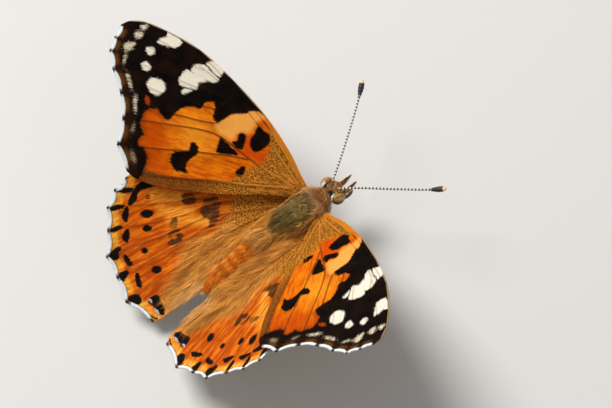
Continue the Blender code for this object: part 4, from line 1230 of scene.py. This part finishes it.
wing_hair_material = hair_material("wing hair", wing_hair_colour)
fringe_material = fringe_finish("wing fringe")
fore_flat = wing_plan(FORE).reshape(-1, 2)
fore_fields = {**wing_fields(fore_flat, FORE, fore_marks), "grain": wing_grain(FORE)}
fore_material = fore_finish()
for side in SIDES:
    wing_solid("forewing_sheet_" + side, FORE, side, fore_fields, fore_material,
               "forewing_" + side)
    fringe_blades("forewing_fringe_" + side, FORE, side)
    inner = (fore_fields["brown"] ** 2) * (fore_fields["rim"] > 0.15) * eased(fore_flat[:, 0], 6.0, 0.5)
    uv = scatter(fore_flat, inner, FORE_HAIRS)
    heading = np.c_[np.ones(FORE_HAIRS), -0.25 + 0.12 * uv[:, 1]] + rng.normal(0, 0.14, (FORE_HAIRS, 2))
    wing_coat("forewing_hair_" + side, uv, heading, rng.uniform(0.5, 1.3, FORE_HAIRS),
              rng.uniform(0.03, 0.05, FORE_HAIRS), rng.uniform(0.1, 0.4, FORE_HAIRS), 0.25, FORE, side,
              {"pale": np.full(FORE_HAIRS, 0.15), "shade": rng.random(FORE_HAIRS)},
              wing_hair_material)


# The hindwings: rounder and softer than the forewings, their front edge tucked beneath them.
# Five dark spots follow the margin, and long fawn hair clothes the half next to the abdomen.
HIND = {
    "hinge": (2.23, -0.64, 0.15), "camber": (0.265, -0.044, -0.116), "sink": (1.3, 3.0), "tuck": 1.0,
    "angles": {"R": (11.3, -4.0, 4.1), "L": (11.2, 0.2, -4.1)},
    "front": [(-0.5, 3.2), (1.6, 3.3), (3.8, 2.3), (6.5, 1.0), (10.5, -1.9), (13.8, -6.6), (15.3, -11.0)],
    "tips": [(15.65, -13.6), (15.5, -15.7), (14.5, -17.9), (12.4, -19.7), (10.1, -22.0), (7.3, -22.6),
             (4.2, -23.7), (-0.1, -22.6)],
    "rear": [(-0.6, -21.4), (-0.9, -19.0), (-1.2, -16.8), (-1.35, -15.3), (-1.5, -13.6), (-1.6, -11.0),
             (-1.6, -6.0), (-1.2, -1.4)],
    "scallop": 0.42, "grid": (240, 180),
    "veins": [
        [(0.5, 0.3), (5.0, 0.1), (9.6, -3.2), (13.2, -8.2), (15.4, -13.4)],
        [(0.5, 0.0), (5.2, -3.2), (10.1, -7.6), (13.4, -12.1), (15.5, -15.7)],
        [(6.3, -4.5), (7.6, -7.6), (11.2, -13.2), (14.5, -17.9)],
        [(7.2, -7.2), (6.9, -9.3), (9.3, -14.4), (12.4, -19.7)],
        [(0.6, -0.6), (3.3, -5.0), (5.4, -8.7), (7.1, -14.0), (10.1, -22.0)],
        [(4.0, -6.4), (4.7, -11.0), (5.7, -16.5), (7.3, -22.6)],
        [(0.5, -1.0), (2.0, -7.0), (2.7, -13.0), (3.4, -18.5), (4.2, -23.7)],
        [(0.3, -1.5), (1.1, -9.5), (0.9, -15.8), (-0.1, -22.6)],
    ],
}
HIND_HAIRS = 4200
FOLD_HAIRS = 2200


def hind_marks(flat):
    """Signed distances to the hindwing's black spots, brown blotches and fawn inner part, the
    distance to its yellow streaks in widths, to its eyespots in radii and to its fold, and how
    lilac each place is and how far it lies under the forewing."""
    black = [patch_distance(flat, knots) for knots in (
        # The first patch, the black bar near the front of the outer margin, is partly the wing's real black
        # and partly painted shadow of the forewing's edge.
        [(13.1, -15.5), (13.7, -14.5), (14.0, -13.4), (14.0, -12.0), (13.2, -10.6), (12.6, -10.9),
         (12.9, -12.3), (13.3, -13.4), (12.7, -14.3), (12.7, -15.3)],
        [(15.4, -15.8), (15.0, -14.7), (14.0, -13.6), (13.9, -14.4), (14.5, -15.2)],
        [(14.3, -17.8), (13.9, -16.7), (13.2, -15.9), (13.1, -16.6), (13.7, -17.6)],
        [(12.3, -19.5), (12.0, -18.4), (11.5, -17.8), (11.3, -18.3), (11.8, -19.4)],
        [(12.5, -17.1), (12.95, -15.9), (12.5, -15.8), (11.6, -16.8), (11.7, -17.2)],
        [(10.6, -18.7), (11.0, -17.7), (10.6, -17.4), (9.9, -18.0), (9.6, -18.6), (10.1, -18.9)],
        [(10.1, -21.8), (10.2, -20.8), (10.0, -19.8), (9.5, -19.7), (9.4, -20.3), (8.9, -20.7),
         (9.0, -21.4)],
        [(8.8, -20.0), (8.4, -19.7), (7.2, -19.8), (7.2, -20.3), (8.0, -20.5)],
        [(7.4, -22.5), (7.4, -21.4), (6.9, -20.8), (6.5, -21.3), (6.4, -22.3), (7.0, -22.6)],
        [(6.1, -20.3), (5.7, -20.0), (4.2, -20.8), (4.7, -21.2), (5.4, -20.9)],
        [(4.3, -23.5), (4.5, -22.8), (4.1, -21.9), (3.3, -21.7), (2.8, -22.2), (3.0, -23.2), (3.8, -23.6)],
        [(2.5, -20.6), (2.0, -19.8), (1.2, -20.0), (0.2, -20.2), (-0.45, -20.8), (0.1, -21.3), (1.4, -21.2),
         (2.2, -21.4)])]
    black += [spot_distance(flat, at, a, b, way) for at, a, b, way in (
        ((10.65, -14.35), 0.88, 0.52, (0.6, -0.8)), ((9.25, -15.5), 0.64, 0.42, (0.6, -0.8)),
        ((7.4, -17.55), 0.48, 0.36, (0.5, -0.8)), ((4.6, -17.9), 0.68, 0.52, (0.6, -0.8)))]
    black.append(to_line(flat, np.array([(1.9, -22.6), (0.7, -22.3), (-0.3, -21.8)])) - 0.12)
    blotch = [patch_distance(flat, knots) for knots in (
        [(7.0, -8.2), (7.1, -7.0), (6.5, -5.9), (5.2, -6.6), (4.1, -8.1), (4.3, -9.3), (5.0, -8.6),
         (5.6, -9.0)],
        [(9.6, -9.4), (9.0, -8.3), (8.2, -8.1), (7.8, -8.9), (8.5, -9.8)],
        [(7.6, -13.3), (8.1, -12.5), (7.8, -11.6), (6.9, -12.5)])]
    ring = np.abs(spot_distance(flat, (6.05, -13.45), 0.72, 0.58, (0.5, 0.85))) - 0.32
    blotch += [ring, spot_distance(flat, (12.1, -12.9), 0.35, 0.28)]
    yellow = [to_line(flat, np.array(ends)) / wide for ends, wide in (
        ([(11.9, -12.2), (9.6, -9.9)], 1.0), ([(8.4, -12.4), (5.2, -9.0)], 0.9), ([(10.0, -12.6),
                                                                                   (7.0, -9.8)], 0.9))]
    inner = patch_distance(flat, [(0.5, 2.8), (5.0, 1.8), (6.2, -1.5), (5.4, -4.2), (4.0, -6.2),
                                  (3.2, -9.1), (3.9, -10.9), (4.4, -12.4), (4.0, -13.9), (2.9, -15.4),
                                  (2.1, -17.3), (1.2, -19.4), (-0.4, -20.6), (-2.5, -20.5), (-2.5, -10.0),
                                  (-2.0, 0.0)])
    spots = [np.hypot((flat[:, 0] - x) / r, (flat[:, 1] - y) / r) for x, y, r in (
        (12.1, -12.9, 0.85), (10.6, -14.4, 1.25), (9.2, -15.9, 0.85), (7.2, -17.6, 0.95),
        (4.7, -18.3, 1.45))]
    fold = to_line(flat, line([(0.4, -4.0), (0.2, -9.0), (0.0, -12.4), (-0.7, -14.0), (-1.3, -15.1)], 30))
    lilac = np.maximum(glow(flat, (2.2, -21.0), (0.45, 0.22)), glow(flat, (0.5, -21.25), (0.6, 0.2)))
    return {"black": np.min(black, axis=0), "blotch": np.min(blotch, axis=0),
            "yellow": np.min(yellow, axis=0), "inner": inner, "ocellus": np.min(spots, axis=0),
            "fold": fold, "lilac": lilac,
            "front": glow(flat, (8.0, -1.0), (9.0, 2.6)) * eased(flat[:, 0] + 0.5 * flat[:, 1], 3.0, 7.0)}


def hind_finish():
    """Hindwing colours: orange above with black margin spots and a fawn inner half; below, a
    marble of brown and cream with white veins and blue-centred eyespots."""
    f = Scales("hindwing scales")
    glowing = f.mix((f.streak + f.fibre + 0.5).rise(0.3, 0.7), (0.70, 0.17, 0.004), (0.88, 0.38, 0.04))
    marginal = f.mix((f.streak * 1.4 + f.fibre + 0.5).rise(0.2, 0.8),
                     (0.66, 0.16, 0.005), (0.88, 0.44, 0.05))
    fawn = f.layers(
        (0.42, 0.15, 0.016),
        ((f.streak + f.fibre * 1.5 + f.grit + 0.5).rise(0.15, 0.85), (0.84, 0.40, 0.08)),
        ((f.field("lie", 1).part(1) + f.cloud * 5).rise(-10.0, -5.0), f.gold()))
    brown = f.layers(
        (0.022, 0.008, 0.003),
        ((f.grit * 2.0 + 0.5).rise(0.2, 0.8), (0.085, 0.028, 0.006)),
        ((f.fibre * 3.0 + f.streak + f.speck + 0.5).rise(0.5, 0.9) * 0.7, (0.50, 0.15, 0.01)))
    hem = f.edge + f.speck * 0.08
    upper = f.layers(
        (0.40, 0.05, 0.0),
        ((f.streak + f.fibre * 2.4 + f.cloud * 0.4 + 0.42).rise(0.1, 0.9), (0.74, 0.165, 0.003)),
        ((f.field("yellow") + f.rough * 0.8).rise(1.3, 0.1), glowing),
        ((f.edge + f.rough).rise(1.5, 0.9), marginal),
        ((f.field("inner") + f.streak * 2.2 + f.speck).rise(1.0, -0.8), fawn),
        (f.field("front") * 0.6, (0.35, 0.24, 0.16)),
        (f.vein.rise(0.14, 0.05) * 0.55, (0.20, 0.055, 0.004)),
        ((f.field("blotch") + f.rough * 1.2 + f.fibre * 1.2).rise(0.08, -0.08) * 0.94, brown),
        # Painted shade: a grey-brown line along the fold, where the hindwing meets the abdomen.
        (f.field("fold").rise(0.35, 0.1) * 0.5, (0.34, 0.25, 0.14)),
        (f.within("black", 0.06, 0.9), (0.004, 0.002, 0.001)),
        ((f.field("lilac") + f.grit * 1.6 + f.speck).rise(0.45, 0.8) * 0.9, (0.52, 0.48, 0.58)),
        (hem.rise(0.30, 0.34) * hem.rise(0.44, 0.40) * 0.7, (0.10, 0.03, 0.004)))
    marble = f.noise(f.field("lie", 1), 0.42, 2.0) + f.rough * 0.08
    band = f.edge + f.cloud * 0.8
    ring = f.field("ocellus")
    lower = f.layers(
        (0.17, 0.10, 0.04),
        (marble.rise(0.44, 0.50), (0.50, 0.38, 0.22)),
        (marble.rise(0.52, 0.55) * marble.rise(0.62, 0.58), (0.78, 0.71, 0.58)),
        (band.rise(5.6, 5.2) * band.rise(4.2, 4.6), (0.8, 0.74, 0.62)),
        ((f.edge + f.cloud * 0.5).rise(4.1, 3.7), (0.47, 0.33, 0.17)),
        (ring.rise(1.12, 1.0), (0.10, 0.07, 0.03)),
        (ring.rise(0.95, 0.85), (0.62, 0.48, 0.14)),
        (ring.rise(0.66, 0.56), (0.02, 0.015, 0.015)),
        (ring.rise(0.34, 0.24), (0.12, 0.28, 0.5)),
        (f.edge.rise(1.9, 1.75) * f.edge.rise(1.25, 1.4), (0.42, 0.42, 0.58)),
        (f.edge.rise(1.2, 1.1), (0.72, 0.58, 0.36)),
        (f.vein.rise(0.17, 0.08), (0.84, 0.79, 0.68)))
    return f.sheet(upper, lower, 0.72, 0.02, 0.08)


hind_flat = wing_plan(HIND).reshape(-1, 2)
hind_fields = {**wing_fields(hind_flat, HIND, hind_marks), "grain": wing_grain(HIND)}
hind_material = hind_finish()
for side in SIDES:
    wing_solid("hindwing_sheet_" + side, HIND, side, hind_fields, hind_material,
               "hindwing_" + side)
    fringe_blades("hindwing_fringe_" + side, HIND, side)
    inner = eased(hind_fields["inner"], 0.6, -0.8) * (hind_fields["rim"] > 0.1)
    inner = inner * eased(hind_flat[:, 1], -19.8, -18.0)
    inner = inner * (0.05 + 0.95 * eased(hind_flat[:, 1] + hind_flat[:, 0], -3.0, -9.0))
    inner = inner * (0.2 + 0.8 * eased(hind_flat[:, 0], 4.0, 1.0))
    uv = scatter(hind_flat, inner, HIND_HAIRS)
    heading = np.c_[0.10 + 0.05 * uv[:, 0], -np.ones(HIND_HAIRS)] + rng.normal(0, 0.1, (HIND_HAIRS, 2))
    length = rng.uniform(0.9, 2.2, HIND_HAIRS)
    width = rng.uniform(0.03, 0.05, HIND_HAIRS)
    lift = rng.uniform(0.08, 0.25, HIND_HAIRS)
    pale = np.clip(0.5 - 0.1 * uv[:, 0] + rng.normal(0, 0.2, HIND_HAIRS), 0, 1)
    pale = pale + 0.8 * eased(uv[:, 0], 1.6, -0.6) * eased(uv[:, 1], -11.0, -15.0)
    wing_coat("hindwing_hair_" + side, uv, heading, length, width, lift, 0.16, HIND, side,
              {"pale": pale, "shade": rng.random(HIND_HAIRS)}, wing_hair_material)
    uv = np.c_[rng.uniform(-1.0, 1.0, FOLD_HAIRS), rng.uniform(-12.0, -1.0, FOLD_HAIRS)]
    heading = np.c_[-0.2 - 0.3 * eased(uv[:, 1], -6.0, -11.0), -np.ones(FOLD_HAIRS)]
    heading = heading + rng.normal(0, 0.08, (FOLD_HAIRS, 2))
    length = rng.uniform(1.8, 3.2, FOLD_HAIRS) * (1 - 0.4 * eased(uv[:, 1], -6.0, -9.0))
    wing_coat("hindwing_fold_hair_" + side, uv, heading, length, rng.uniform(0.035, 0.055, FOLD_HAIRS),
              rng.uniform(0.2, 0.4, FOLD_HAIRS), rng.uniform(0.15, 0.3, FOLD_HAIRS), HIND, side,
              {"pale": rng.uniform(0.3, 0.9, FOLD_HAIRS), "shade": rng.random(FOLD_HAIRS)},
              wing_hair_material)


# The table it stands on for its portrait, a plain pale board in a softly lit room.
BOARD_HALF = 4.0
ROOM_COLOUR = (0.95, 0.97, 1.0, 1.0)
ROOM_STRENGTH = 0.35
ground = bpy.data.meshes.new("board")
ground.from_pydata([(x * BOARD_HALF, y * BOARD_HALF, 0) for x, y in ((-1, -1), (1, -1), (1, 1), (-1, 1))],
                   [], [(0, 1, 2, 3)])
board_finish = Finish("pale board")
ground.materials.append(board_finish.surface((0.62, 0.60, 0.57), 0.9))
board = bpy.data.objects.new("board", ground)
bpy.context.scene.collection.objects.link(board)

world = bpy.context.scene.world or bpy.data.worlds.new("soft room")
bpy.context.scene.world = world
world.use_nodes = True
world.node_tree.nodes["Background"].inputs["Color"].default_value = ROOM_COLOUR
world.node_tree.nodes["Background"].inputs["Strength"].default_value = ROOM_STRENGTH
bpy.context.scene.view_settings.view_transform = "Standard"

# The camera that took the portrait hangs over the insect's right side, leaning by LEAN from
# the vertical, and turns with the insect.
LEAN = math.radians(30.0)
TIP = math.radians(-2.88)
ROLL = math.radians(34.89)
CAMERA_DISTANCE = 500.0
LENS = 229.4
PICTURE_WIDTH = 612
SHIFT_PIXELS = (8, 11)


def facing(right, up, back, place):
    """Matrix of a camera or lamp that looks against its back direction."""
    matrix = np.eye(4)
    matrix[:3, 0], matrix[:3, 1], matrix[:3, 2], matrix[:3, 3] = right, up, back, place
    return matrix.T.tolist()


toward = np.array([math.sin(LEAN) * math.cos(TIP), math.sin(TIP), math.cos(LEAN) * math.cos(TIP)])
ahead = unit(np.array([0.0, 1.0, 0.0]) - toward * toward[1])
aside = np.cross(ahead, toward)
right = TURN @ (math.cos(ROLL) * ahead + math.sin(ROLL) * aside)
up = TURN @ (math.sin(ROLL) * ahead - math.cos(ROLL) * aside)
toward = TURN @ toward
camera_data = bpy.data.cameras.new("portrait camera")
camera = bpy.data.objects.new("portrait camera", camera_data)
bpy.context.scene.collection.objects.link(camera)
camera_data.lens = LENS
camera_data.shift_x = SHIFT_PIXELS[0] / PICTURE_WIDTH
camera_data.shift_y = SHIFT_PIXELS[1] / PICTURE_WIDTH
camera_data.clip_start = 0.01
camera.matrix_world = facing(right, up, toward, ORIGIN + toward * CAMERA_DISTANCE * MM)
bpy.context.scene.camera = camera

# Two soft lamps: a strong one beyond the portrait's top left corner and a broad weak one
# opposite. Each stands as far along the portrait's right and up as these shares say.
LAMP_DISTANCE = 0.6
LAMPS = {
    "key lamp": {"right": -1.05, "up": 1.45, "size": 0.35, "watts": 4.2},
    "fill lamp": {"right": 0.7, "up": -0.5, "size": 0.6, "watts": 0.5},
}
for name, sizes in LAMPS.items():
    back = unit(toward + right * sizes["right"] + up * sizes["up"])
    lamp_data = bpy.data.lights.new(name, "AREA")
    lamp_data.shape = "DISK"
    lamp_data.size = sizes["size"]
    lamp_data.energy = sizes["watts"]
    lamp = bpy.data.objects.new(name, lamp_data)
    bpy.context.scene.collection.objects.link(lamp)
    across = unit(np.cross(up, back))
    lamp.matrix_world = facing(across, np.cross(back, across), back, ORIGIN + back * LAMP_DISTANCE)
